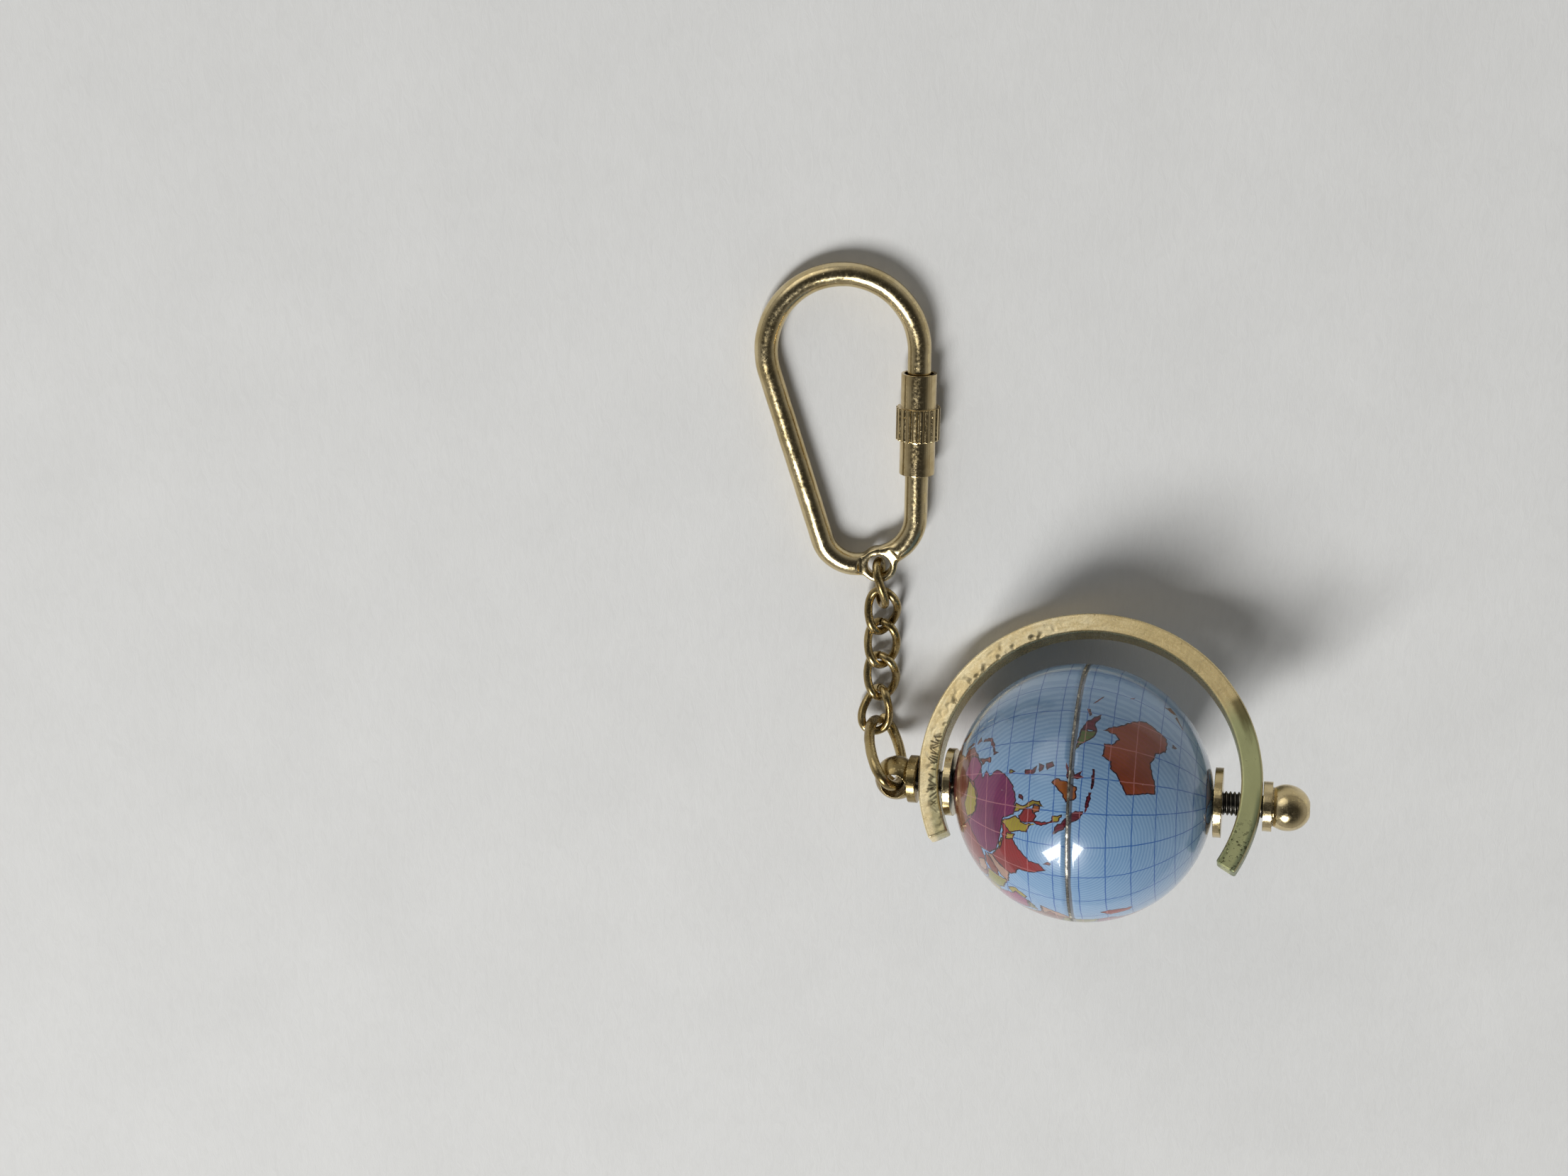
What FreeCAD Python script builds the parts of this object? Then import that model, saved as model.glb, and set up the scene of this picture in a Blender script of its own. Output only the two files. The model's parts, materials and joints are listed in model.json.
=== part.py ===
"""Brass key ring with a spinning world globe, lying at rest on a flat surface.

Millimetres, +Z up. The origin is the bottom centre of the whole object's box, on the surface it lies on.
The carabiner and its chain lie along +Y; the globe lies on its side with its axle roughly along +X.
"""
import FreeCAD
import Part
import PartDesign
import Sketcher
import math
import os
from FreeCAD import Placement, Rotation, Vector

DOC = FreeCAD.newDocument("GlobeKeyRing")
X_AXIS = Vector(1, 0, 0)
Y_AXIS = Vector(0, 1, 0)
Z_AXIS = Vector(0, 0, 1)
LINK_PATH_POINTS = 20

# ---------------------------------------------------------------- driving dimensions
DIMENSIONS = [
    # carabiner rod, bent in its own flat plane around the centre of its top bow
    ("rod_radius", 1.5),
    ("bow_radius", 9.4),
    ("left_leg_slant_deg", 17.3),
    ("left_corner_radius", 4.6),
    ("left_corner_x", 2.07),
    ("left_corner_y", -22.8),
    ("right_corner_radius", 5.5),
    ("right_corner_y", -20.93),
    ("upper_end_y", -4.0),
    ("lower_end_y", -7.4),
    ("eye_x", 4.9),
    ("eye_y", -27.3),
    ("eye_hole_radius", 1.4),
    ("eye_radius", 2.35),
    ("eye_thickness", 2.0),
    ("eye_press_margin", 0.3),
    ("carabiner_roll_deg", 3.8),
    # lock sleeve on the right leg
    ("sleeve_radius", 2.22),
    ("sleeve_length", 12.7),
    ("sleeve_top_y", -2.6),
    ("sleeve_bore_radius", 1.56),
    ("sleeve_mouth_radius", 1.8),
    ("sleeve_mouth_depth", 5.0),
    ("collar_radius", 2.75),
    ("collar_length", 4.1),
    ("collar_below_top", 4.2),
    ("flute_radius", 0.22),
    ("flute_count", 20),
    # chain of small twisted links
    ("chain_wire_radius", 0.56),
    ("chain_half_length", 2.93),
    ("chain_half_width", 1.86),
    ("chain_twist_rise", 0.72),
    ("eye_link_twist_rise", 0.35),
    ("link_cut_deg", 3.0),
    # large link through the north ball
    ("ball_link_wire_radius", 0.72),
    ("ball_link_half_length", 6.1),
    ("ball_link_half_width", 3.3),
    ("ball_link_end_shift", 0.36),
    ("ball_link_cut_deg", 24.0),
    ("ball_link_sweep_deg", 354.0),
    # globe
    ("globe_radius", 16.0),
    ("shell_thickness", 0.7),
    ("seam_half_angle_deg", 0.6),
    ("seam_inset", 0.12),
    ("joining_ring_height", 4.0),
    ("joining_ring_wall", 0.8),
    ("axle_radius", 1.5),
    ("axle_running_clearance", 0.06),
    ("axle_north_end", -22.0),
    ("axle_south_end", 23.2),
    # disc nuts between globe and arc
    ("disc_radius", 4.3),
    ("disc_thickness", 1.0),
    ("disc_from_centre", 16.0),
    # C-shaped arc
    ("arc_inner_radius", 18.6),
    ("arc_outer_radius", 21.2),
    ("arc_depth", 3.3),
    ("arc_back_shift", 1.8),
    ("arc_south_shift", 0.5),
    ("arc_north_overhang_deg", 27.0),
    ("arc_south_overhang_deg", 30.0),
    # ball nuts outside the arc
    ("ball_radius", 2.85),
    ("flange_radius", 3.05),
    ("flange_thickness", 1.15),
    ("north_flange_from_centre", 20.75),
    ("south_flange_from_centre", 21.75),
    ("north_ball_from_centre", 23.6),
    ("south_ball_from_centre", 24.6),
    ("ball_cross_hole_radius", 1.6),
    ("ball_hole_turn_deg", 42.0),
    ("ball_bore_depth", 1.7),
    ("ball_flat_depth", 0.15),
    # length of the tools that cut right through a piece
    ("cutter_length", 40.0),
    # where the globe lies
    ("globe_x", 7.2),
    ("globe_y", -23.8),
    ("globe_heading_deg", 2.5),
    ("globe_raise_deg", 15.6),
    ("globe_roll_deg", 38.0),
]
SIZE = dict(DIMENSIONS)
LEAST_FLUTE_VOLUME = 1.0
LEAST_AXLE_HOLE_VOLUME = 30.0

# Rest pose of each small link: centre, then turn about Z, about Y and about X.
CHAIN_POSES = [
    ((-17.66, -0.88, 2.44), (6.2, 88.3, -0.2)),
    ((-17.29, -4.76, 2.11), (-0.1, 3.6, 10.0)),
    ((-17.26, -9.37, 1.70), (0.4, -0.5, -1.2)),
    ((-17.23, -13.97, 1.60), (4.5, -2.4, 2.4)),
    ((-17.85, -18.45, 2.24), (-5.1, -30.7, -12.0)),
]
BALL_LINK_POSE = ((-16.81, -22.55, 6.65), (76.8, 75.3, 36.0))
CARABINER_BOW_CENTRE = Vector(-22.8, 29.0, 2.125)


def make_sheet():
    """Spreadsheet that holds every driving dimension under a plain-word alias."""
    sheet = DOC.addObject("Spreadsheet::Sheet", "Sizes")
    for row, (alias, value) in enumerate(DIMENSIONS, start=1):
        sheet.set(f"A{row}", alias)
        sheet.set(f"B{row}", str(value))
        sheet.setAlias(f"B{row}", alias)
    DOC.recompute()


def bind(thing, **expressions):
    """Bind properties of an object to expressions of sheet aliases written with a leading #."""
    for name, expression in expressions.items():
        thing.setExpression(name, expression.replace("#", "Sizes."))
    return thing


def primitive(kind, name, **expressions):
    """Part primitive whose sizes come from the sheet."""
    return bind(DOC.addObject(f"Part::{kind}", name), **expressions)


def combine(kind, name, base, tool):
    """Cut, Fuse or Common of two objects."""
    thing = DOC.addObject(f"Part::{kind}", name)
    thing.Base = base
    thing.Tool = tool
    return thing


def turn(axis, degrees):
    """Rotation about an axis."""
    return Rotation(axis, degrees)


def heading_turn(yaw, roll, pitch):
    """Rotation about Z, then the turned Y, then the turned X."""
    return turn(Z_AXIS, yaw) * turn(Y_AXIS, roll) * turn(X_AXIS, pitch)


def carabiner_placement():
    return Placement(CARABINER_BOW_CENTRE, turn(Y_AXIS, -SIZE["carabiner_roll_deg"]))


def axle_placement():
    """Frame of the globe: origin at its centre, Z along the axle to the south, Y to the back of the arc."""
    attitude = heading_turn(SIZE["globe_heading_deg"], -SIZE["globe_raise_deg"], -SIZE["globe_roll_deg"])
    centre = Vector(SIZE["globe_x"], SIZE["globe_y"], SIZE["globe_radius"])
    return Placement(centre, attitude * turn(Y_AXIS, 90))


def finish(thing, label, placement):
    """Give a finished sub-part its name and its place."""
    thing.Label = label
    thing.Placement = placement
    return thing


def origin_plane(body, role):
    return next(feature for feature in body.Origin.OriginFeatures if feature.Role == role)


# ---------------------------------------------------------------- carabiner
def point_at(centre, radius, degrees):
    angle = math.radians(degrees)
    return centre + Vector(radius * math.cos(angle), radius * math.sin(angle), 0)


def arc_edge(centre, radius, start_deg, end_deg):
    """Arc through three points, so that it runs from start to end in either direction."""
    middle_deg = (start_deg + end_deg) / 2
    points = [point_at(centre, radius, angle) for angle in (start_deg, middle_deg, end_deg)]
    return Part.Arc(*points).toShape()


def rod_centreline():
    """Rod's centreline from its lower end at the gate, round the pear, to its upper end at the gate."""
    bow = SIZE["bow_radius"]
    left_radius = SIZE["left_corner_radius"]
    right_radius = SIZE["right_corner_radius"]
    left_centre = Vector(SIZE["left_corner_x"], SIZE["left_corner_y"], 0)
    right_centre = Vector(bow - right_radius, SIZE["right_corner_y"], 0)
    between = right_centre - left_centre
    between_deg = math.degrees(math.atan2(between.y, between.x))
    bottom_deg = between_deg - math.degrees(math.acos((left_radius - right_radius) / between.Length))
    left_deg = 180 + SIZE["left_leg_slant_deg"]
    lower_end = Vector(bow, SIZE["lower_end_y"], 0)
    upper_end = Vector(bow, SIZE["upper_end_y"], 0)
    edges = [
        Part.makeLine(lower_end, point_at(right_centre, right_radius, 0)),
        arc_edge(right_centre, right_radius, 0, bottom_deg),
        Part.makeLine(
            point_at(right_centre, right_radius, bottom_deg),
            point_at(left_centre, left_radius, bottom_deg),
        ),
        arc_edge(left_centre, left_radius, bottom_deg, left_deg - 360),
        Part.makeLine(point_at(left_centre, left_radius, left_deg), point_at(Vector(), bow, left_deg)),
        arc_edge(Vector(), bow, left_deg, 0),
        Part.makeLine(point_at(Vector(), bow, 0), upper_end),
    ]
    return Part.Wire(edges)


def swept_wire(path, start, direction, radius):
    """Round wire of the given radius along a path."""
    profile = Part.Wire(Part.makeCircle(radius, start, direction))
    return path.makePipeShell([profile], True, False)


def vertical_cutter(name, radius, low):
    """Upright cylinder at the carabiner's eye that removes metal from a height upwards."""
    cutter = primitive("Cylinder", name, Radius=radius, Height="#cutter_length")
    return bind(cutter, **{
        "Placement.Base.x": "#eye_x",
        "Placement.Base.y": "#eye_y",
        "Placement.Base.z": low,
    })


def make_carabiner():
    """Bent rod with an eye lug pressed flat round a vertical hole; its gate gap is left open."""
    rod = DOC.addObject("Part::Feature", "RodSweep")
    start = Vector(SIZE["bow_radius"], SIZE["lower_end_y"], 0)
    rod.Shape = swept_wire(rod_centreline(), start, Y_AXIS, SIZE["rod_radius"])
    lug = primitive("Cylinder", "EyeLug", Radius="#eye_radius", Height="#eye_thickness")
    bind(lug, **{
        "Placement.Base.x": "#eye_x",
        "Placement.Base.y": "#eye_y",
        "Placement.Base.z": "-#eye_thickness / 2",
    })
    blank = combine("Fuse", "RodWithLug", rod, lug)
    above = vertical_cutter("PressedAbove", "#eye_radius + #eye_press_margin", "#eye_thickness / 2")
    below = vertical_cutter(
        "PressedBelow", "#eye_radius + #eye_press_margin", "-#eye_thickness / 2 - #cutter_length"
    )
    hole = vertical_cutter("EyeHole", "#eye_hole_radius", "-#cutter_length / 2")
    pressed = combine("Cut", "RodPressedAbove", blank, above)
    pressed = combine("Cut", "RodPressedBelow", pressed, below)
    finish(combine("Cut", "CarabinerRod", pressed, hole), "carabiner_rod", carabiner_placement())


# ---------------------------------------------------------------- lock sleeve
def polygon_sketch(body, name, plane, corners):
    """Closed outline whose corners are pinned to sheet expressions, given as (across, up) pairs."""
    sketch = body.newObject("Sketcher::SketchObject", name)
    sketch.AttachmentSupport = [(origin_plane(body, plane), "")]
    sketch.MapMode = "FlatFace"
    values = [tuple(sheet_value(expression) for expression in corner) for corner in corners]
    for index, (across, up) in enumerate(values):
        next_across, next_up = values[(index + 1) % len(values)]
        sketch.addGeometry(Part.LineSegment(Vector(across, up, 0), Vector(next_across, next_up, 0)), False)
    for index in range(len(values)):
        sketch.addConstraint(Sketcher.Constraint("Coincident", index, 2, (index + 1) % len(values), 1))
    for index, (across, up) in enumerate(corners):
        for kind, expression, value in zip(("DistanceX", "DistanceY"), (across, up), values[index]):
            number = sketch.addConstraint(Sketcher.Constraint(kind, -1, 1, index, 1, value))
            sketch.setExpression(f"Constraints[{number}]", expression.replace("#", "Sizes."))
    return sketch


def sheet_value(expression):
    """Number of an expression of sheet aliases, used as a sketch's first guess."""
    probe = DOC.getObject("Probe") or DOC.addObject("App::FeaturePython", "Probe")
    if not hasattr(probe, "Value"):
        probe.addProperty("App::PropertyFloat", "Value")
    probe.setExpression("Value", expression.replace("#", "Sizes."))
    DOC.recompute([probe])
    return probe.Value


def make_lock_sleeve():
    """Turned sleeve: roomy mouth at its top end, closer bore below it, and a fluted grip collar."""
    body = DOC.addObject("PartDesign::Body", "LockSleeve")
    top = "#sleeve_length"
    collar_top = "#sleeve_length - #collar_below_top"
    collar_bottom = "#sleeve_length - #collar_below_top - #collar_length"
    mouth = "#sleeve_length - #sleeve_mouth_depth"
    outline = [
        ("#sleeve_bore_radius", "0"),
        ("#sleeve_radius", "0"),
        ("#sleeve_radius", collar_bottom),
        ("#collar_radius", collar_bottom),
        ("#collar_radius", collar_top),
        ("#sleeve_radius", collar_top),
        ("#sleeve_radius", top),
        ("#sleeve_mouth_radius", top),
        ("#sleeve_mouth_radius", mouth),
        ("#sleeve_bore_radius", mouth),
    ]
    sketch = polygon_sketch(body, "SleeveSection", "XZ_Plane", outline)
    turned = body.newObject("PartDesign::Revolution", "SleeveTurned")
    turned.Profile = sketch
    turned.ReferenceAxis = (sketch, ["V_Axis"])
    turned.Angle = 360
    DOC.recompute()
    circle = body.newObject("Sketcher::SketchObject", "FluteSection")
    circle.AttachmentSupport = [(origin_plane(body, "XY_Plane"), "")]
    circle.MapMode = "FlatFace"
    circle.addGeometry(Part.Circle(Vector(SIZE["collar_radius"], 0, 0), Z_AXIS, SIZE["flute_radius"]), False)
    circle.addConstraint(Sketcher.Constraint("Radius", 0, SIZE["flute_radius"]))
    circle.setExpression("Constraints[0]", "Sizes.flute_radius")
    circle.addConstraint(Sketcher.Constraint("DistanceX", -1, 1, 0, 3, SIZE["collar_radius"]))
    circle.setExpression("Constraints[1]", "Sizes.collar_radius")
    circle.addConstraint(Sketcher.Constraint("PointOnObject", 0, 3, -1))
    DOC.recompute()
    before = body.Shape.Volume
    flute = body.newObject("PartDesign::Pocket", "Flute")
    flute.Profile = circle
    flute.Reversed = True
    flute.Type = "ThroughAll"
    DOC.recompute()
    flutes = body.newObject("PartDesign::PolarPattern", "Flutes")
    flutes.Originals = [flute]
    flutes.Axis = (circle, ["N_Axis"])
    flutes.Angle = 360
    flutes.setExpression("Occurrences", "Sizes.flute_count")
    body.Tip = flutes
    DOC.recompute()
    if before - body.Shape.Volume < LEAST_FLUTE_VOLUME:
        raise RuntimeError("the flutes cut nothing")
    foot = Vector(SIZE["bow_radius"], SIZE["sleeve_top_y"] - SIZE["sleeve_length"], 0)
    seat = Placement(foot, turn(X_AXIS, -90))
    finish(body, "lock_sleeve", carabiner_placement() * seat)


# ---------------------------------------------------------------- chain
def twisted_link(twist_rise):
    """Oval wire link whose two ends are turned opposite ways, cut once at its north end."""
    half_width = SIZE["chain_half_width"]
    half_length = SIZE["chain_half_length"]
    cut = math.radians(SIZE["link_cut_deg"])
    points = []
    for step in range(LINK_PATH_POINTS + 1):
        angle = cut + (2 * math.pi - 2 * cut) * step / LINK_PATH_POINTS
        points.append(Vector(
            half_width * math.sin(angle),
            half_length * math.cos(angle),
            twist_rise * math.sin(2 * angle),
        ))
    curve = Part.BSplineCurve()
    curve.interpolate(points)
    edge = curve.toShape()
    return swept_wire(Part.Wire(edge), edge.valueAt(0), edge.tangentAt(0), SIZE["chain_wire_radius"])


def make_chain():
    """Five small links; the first hangs on edge in the carabiner's eye, the others lie nearly flat."""
    for number, (centre, angles) in enumerate(CHAIN_POSES, start=1):
        rise = SIZE["eye_link_twist_rise"] if number == 1 else SIZE["chain_twist_rise"]
        link = DOC.addObject("Part::Feature", f"ChainLink{number}")
        link.Shape = twisted_link(rise)
        finish(link, f"chain_link_{number}", Placement(Vector(*centre), heading_turn(*angles)))


def make_ball_link():
    """Large oval link; its cut ends pass each other a little sideways near its far end."""
    half_length = SIZE["ball_link_half_length"]
    half_width = SIZE["ball_link_half_width"]
    shift = SIZE["ball_link_end_shift"]
    points = []
    for step in range(LINK_PATH_POINTS + 1):
        share = step / LINK_PATH_POINTS
        angle = math.radians(SIZE["ball_link_cut_deg"] + SIZE["ball_link_sweep_deg"] * share)
        points.append(Vector(
            half_length * math.cos(angle),
            half_width * math.sin(angle),
            shift * (2 * share - 1) ** 5,
        ))
    curve = Part.BSplineCurve()
    curve.interpolate(points)
    edge = curve.toShape()
    link = DOC.addObject("Part::Feature", "BallLink")
    radius = SIZE["ball_link_wire_radius"]
    link.Shape = swept_wire(Part.Wire(edge), edge.valueAt(0), edge.tangentAt(0), radius)
    centre, angles = BALL_LINK_POSE
    finish(link, "ball_link", Placement(Vector(*centre), heading_turn(*angles)))


# ---------------------------------------------------------------- globe
def axle_cutter(name, radius):
    """Cylinder along the axle, centred on the globe, that cuts right through it."""
    cutter = primitive("Cylinder", name, Radius=radius, Height="#cutter_length")
    return bind(cutter, **{"Placement.Base.z": "-#cutter_length / 2"})


def make_hemisphere(label, south):
    """Thin printed half shell with a running hole for the axle at its pole."""
    name = "South" if south else "North"
    angles = {"Angle1": "#seam_half_angle_deg", "Angle2": "90"}
    if not south:
        angles = {"Angle1": "-90", "Angle2": "-#seam_half_angle_deg"}
    outer = primitive("Sphere", f"{name}ShellOutside", Radius="#globe_radius", **angles)
    inner = primitive("Sphere", f"{name}ShellInside", Radius="#globe_radius - #shell_thickness")
    hole = axle_cutter(f"{name}PoleHole", "#axle_radius + #axle_running_clearance")
    shell = combine("Cut", f"{name}Shell", outer, inner)
    finish(combine("Cut", f"{name}Hemisphere", shell, hole), label, axle_placement())


def make_joining_ring():
    """Ring inside the equator that joins the two shells; its rib is the seam seen outside."""
    inside = primitive("Sphere", "RingFit", Radius="#globe_radius - #shell_thickness")
    band = primitive("Cylinder", "RingBand", Radius="#globe_radius", Height="#joining_ring_height")
    bind(band, **{"Placement.Base.z": "-#joining_ring_height / 2"})
    rib_sphere = primitive(
        "Sphere", "RibFit", Radius="#globe_radius - #seam_inset",
        Angle1="-#seam_half_angle_deg", Angle2="#seam_half_angle_deg",
    )
    bore = axle_cutter("RingBore", "#globe_radius - #shell_thickness - #joining_ring_wall")
    ring = combine("Common", "RingBody", inside, band)
    ring = combine("Fuse", "RingWithRib", ring, rib_sphere)
    finish(combine("Cut", "JoiningRing", ring, bore), "joining_ring", axle_placement())


def make_axle():
    """Threaded steel rod through both shells, both disc nuts, the arc and into both ball nuts."""
    axle = primitive("Cylinder", "Axle", Radius="#axle_radius", Height="#axle_south_end - #axle_north_end")
    start = Placement(Vector(0, 0, SIZE["axle_north_end"]), Rotation())
    finish(axle, "axle", axle_placement() * start)


def make_disc_nut(label, side):
    """Round nut on the axle between a pole and the arc; side is -1 for north and 1 for south."""
    name = "SouthDisc" if side > 0 else "NorthDisc"
    disc = primitive("Cylinder", f"{name}Blank", Radius="#disc_radius", Height="#disc_thickness")
    hole = primitive("Cylinder", f"{name}Hole", Radius="#axle_radius", Height="#disc_thickness")
    low = SIZE["disc_from_centre"] if side > 0 else -SIZE["disc_from_centre"] - SIZE["disc_thickness"]
    seat = Placement(Vector(0, 0, low), Rotation())
    finish(combine("Cut", f"{name}Nut", disc, hole), label, axle_placement() * seat)


def make_arc_frame():
    """C-shaped strip of rectangular section round the back of the globe, drilled for the axle."""
    body = DOC.addObject("PartDesign::Body", "ArcFrame")
    sketch = body.newObject("Sketcher::SketchObject", "ArcOutline")
    sketch.AttachmentSupport = [(origin_plane(body, "YZ_Plane"), "")]
    sketch.MapMode = "FlatFace"
    centre = Vector(SIZE["arc_back_shift"], SIZE["arc_south_shift"], 0)
    first_deg = -90 - SIZE["arc_north_overhang_deg"]
    last_deg = 90 + SIZE["arc_south_overhang_deg"]
    radii = (SIZE["arc_outer_radius"], SIZE["arc_inner_radius"])
    for radius in radii:
        circle = Part.Circle(centre, Z_AXIS, radius)
        sketch.addGeometry(Part.ArcOfCircle(circle, math.radians(first_deg), math.radians(last_deg)), False)
    for degrees in (first_deg, last_deg):
        ends = [point_at(centre, radius, degrees) for radius in radii]
        sketch.addGeometry(Part.LineSegment(*ends), False)
    for line, arc_end in ((2, 1), (3, 2)):
        sketch.addConstraint(Sketcher.Constraint("Coincident", line, 1, 0, arc_end))
        sketch.addConstraint(Sketcher.Constraint("Coincident", line, 2, 1, arc_end))
    for kind, alias, geometry in (
        ("Radius", "arc_outer_radius", 0),
        ("Radius", "arc_inner_radius", 1),
    ):
        number = sketch.addConstraint(Sketcher.Constraint(kind, geometry, SIZE[alias]))
        sketch.setExpression(f"Constraints[{number}]", f"Sizes.{alias}")
    for geometry in (0, 1):
        for kind, alias in (("DistanceX", "arc_back_shift"), ("DistanceY", "arc_south_shift")):
            number = sketch.addConstraint(Sketcher.Constraint(kind, -1, 1, geometry, 3, SIZE[alias]))
            sketch.setExpression(f"Constraints[{number}]", f"Sizes.{alias}")
    for line, degrees, expression in (
        (2, first_deg + 180, "90 deg - Sizes.arc_north_overhang_deg * 1 deg"),
        (3, last_deg - 180, "-90 deg + Sizes.arc_south_overhang_deg * 1 deg"),
    ):
        number = sketch.addConstraint(Sketcher.Constraint("Angle", line, math.radians(degrees)))
        sketch.setExpression(f"Constraints[{number}]", expression)
    strip = body.newObject("PartDesign::Pad", "ArcStrip")
    strip.Profile = sketch
    strip.Midplane = True
    strip.setExpression("Length", "Sizes.arc_depth")
    DOC.recompute()
    before = body.Shape.Volume
    circle = body.newObject("Sketcher::SketchObject", "AxleHoles")
    circle.AttachmentSupport = [(origin_plane(body, "XY_Plane"), "")]
    circle.MapMode = "FlatFace"
    circle.addGeometry(Part.Circle(Vector(), Z_AXIS, SIZE["axle_radius"]), False)
    circle.addConstraint(Sketcher.Constraint("Radius", 0, SIZE["axle_radius"]))
    circle.setExpression("Constraints[0]", "Sizes.axle_radius")
    circle.addConstraint(Sketcher.Constraint("Coincident", 0, 3, -1, 1))
    holes = body.newObject("PartDesign::Pocket", "AxleThrough")
    holes.Profile = circle
    holes.Type = "ThroughAll"
    holes.Midplane = True
    DOC.recompute()
    if before - body.Shape.Volume < LEAST_AXLE_HOLE_VOLUME:
        raise RuntimeError("the axle holes cut too little of the arc")
    finish(body, "arc_frame", axle_placement())


def ball_and_flange(name, side, flange, ball):
    """Ball and flange in one piece with the axle's blind bore, along the axle on one side of the globe."""
    low = f"#{flange}" if side > 0 else f"-#{flange} - #flange_thickness"
    plate = primitive("Cylinder", f"{name}Flange", Radius="#flange_radius", Height="#flange_thickness")
    bind(plate, **{"Placement.Base.z": low})
    sphere = primitive("Sphere", f"{name}Ball", Radius="#ball_radius")
    bind(sphere, **{"Placement.Base.z": f"#{ball}" if side > 0 else f"-#{ball}"})
    bore_length = "#ball_bore_depth + #cutter_length"
    bore_low = f"#{flange} - #cutter_length" if side > 0 else f"-#{flange} - #ball_bore_depth"
    bore = primitive("Cylinder", f"{name}Bore", Radius="#axle_radius", Height=bore_length)
    bind(bore, **{"Placement.Base.z": bore_low})
    seat_low = f"#{flange} - #cutter_length" if side > 0 else f"-#{flange}"
    inner_side = primitive("Cylinder", f"{name}Seat", Radius="#flange_radius", Height="#cutter_length")
    bind(inner_side, **{"Placement.Base.z": seat_low})
    blank = combine("Fuse", f"{name}Blank", plate, sphere)
    seated = combine("Cut", f"{name}Faced", blank, inner_side)
    return combine("Cut", f"{name}Bored", seated, bore)


def make_ball_nuts():
    """North ball has a large cross hole for the link; south ball has a small flat at its pole."""
    north = ball_and_flange("North", -1, "north_flange_from_centre", "north_ball_from_centre")
    across = turn(Z_AXIS, SIZE["ball_hole_turn_deg"]) * turn(Y_AXIS, 90)
    hole = primitive("Cylinder", "CrossHole", Radius="#ball_cross_hole_radius", Height="#cutter_length")
    reach = across.multVec(Z_AXIS) * (SIZE["cutter_length"] / 2)
    hole.Placement = Placement(Vector(-reach.x, -reach.y, -SIZE["north_ball_from_centre"]), across)
    finish(combine("Cut", "NorthBallNut", north, hole), "north_ball_nut", axle_placement())
    south = ball_and_flange("South", 1, "south_flange_from_centre", "south_ball_from_centre")
    flat = primitive("Cylinder", "PoleFlat", Radius="#ball_radius", Height="#cutter_length")
    bind(flat, **{"Placement.Base.z": "#south_ball_from_centre + #ball_radius - #ball_flat_depth"})
    finish(combine("Cut", "SouthBallNut", south, flat), "south_ball_nut", axle_placement())


# ---------------------------------------------------------------- checks and output
def sub_parts():
    """Every finished sub-part, found by its lower-case label."""
    found = [thing for thing in DOC.Objects if thing.Label == thing.Label.lower() and hasattr(thing, "Shape")]
    return sorted(found, key=lambda thing: thing.Label)


def check_document():
    DOC.recompute()
    for thing in DOC.Objects:
        if {"Invalid", "Error"} & set(thing.State):
            raise RuntimeError(f"{thing.Name} failed: {thing.State}")
    for thing in sub_parts():
        if thing.Shape.isNull() or not thing.Shape.isValid():
            raise RuntimeError(f"{thing.Label} has no valid shape")


def export_parts():
    os.makedirs("parts", exist_ok=True)
    for thing in sub_parts():
        thing.Shape.exportStep(f"parts/{thing.Label}.step")
        box = thing.Shape.BoundBox
        print(
            f"{thing.Label:18s} {len(thing.Shape.Solids)} solid {thing.Shape.Volume:9.2f} mm3 "
            f"x {box.XMin:7.2f} {box.XMax:7.2f} y {box.YMin:7.2f} {box.YMax:7.2f} z {box.ZMin:7.2f} {box.ZMax:7.2f}"
        )


make_sheet()
make_carabiner()
make_lock_sleeve()
make_chain()
make_ball_link()
make_hemisphere("north_hemisphere", south=False)
make_hemisphere("south_hemisphere", south=True)
make_joining_ring()
make_axle()
make_disc_nut("north_disc_nut", -1)
make_disc_nut("south_disc_nut", 1)
make_arc_frame()
make_ball_nuts()
check_document()
export_parts()
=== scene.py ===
"""Looks of the brass globe key ring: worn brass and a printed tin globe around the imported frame."""
import json
import math
import random

import bmesh
import bpy
import numpy as np
from mathutils import Matrix, Vector, geometry, noise


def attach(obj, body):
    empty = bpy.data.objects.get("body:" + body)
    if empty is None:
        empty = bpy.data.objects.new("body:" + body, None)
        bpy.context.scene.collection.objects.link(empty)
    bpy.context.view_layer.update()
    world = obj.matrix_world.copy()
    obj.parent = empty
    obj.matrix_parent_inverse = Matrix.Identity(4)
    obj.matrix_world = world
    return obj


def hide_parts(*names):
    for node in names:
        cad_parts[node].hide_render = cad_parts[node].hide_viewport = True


MM = 0.001
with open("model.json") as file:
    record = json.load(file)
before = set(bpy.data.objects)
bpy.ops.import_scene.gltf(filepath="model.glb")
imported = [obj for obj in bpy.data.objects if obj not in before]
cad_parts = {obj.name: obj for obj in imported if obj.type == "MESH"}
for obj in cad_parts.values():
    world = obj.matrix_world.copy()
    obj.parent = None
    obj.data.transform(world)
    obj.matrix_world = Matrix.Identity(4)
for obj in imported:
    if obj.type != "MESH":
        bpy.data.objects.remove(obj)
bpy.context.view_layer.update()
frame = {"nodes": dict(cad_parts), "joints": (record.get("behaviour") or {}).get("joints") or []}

JOINTS = {joint["name"]: joint for joint in frame["joints"]}
GLOBE_CENTRE = Vector(JOINTS["globe_spin"]["pos_m"])
AXLE = Vector(JOINTS["globe_spin"]["axis"]).normalized()
# The globe touches the floor, so its centre is one radius high.
GLOBE_RADIUS = GLOBE_CENTRE.z
GLOBE_ROLL = math.radians(38.0)
SHELL = 0.7 * MM
POLE_HOLE = 1.7 * MM
SEAM_HALF = 0.17 * MM

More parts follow.
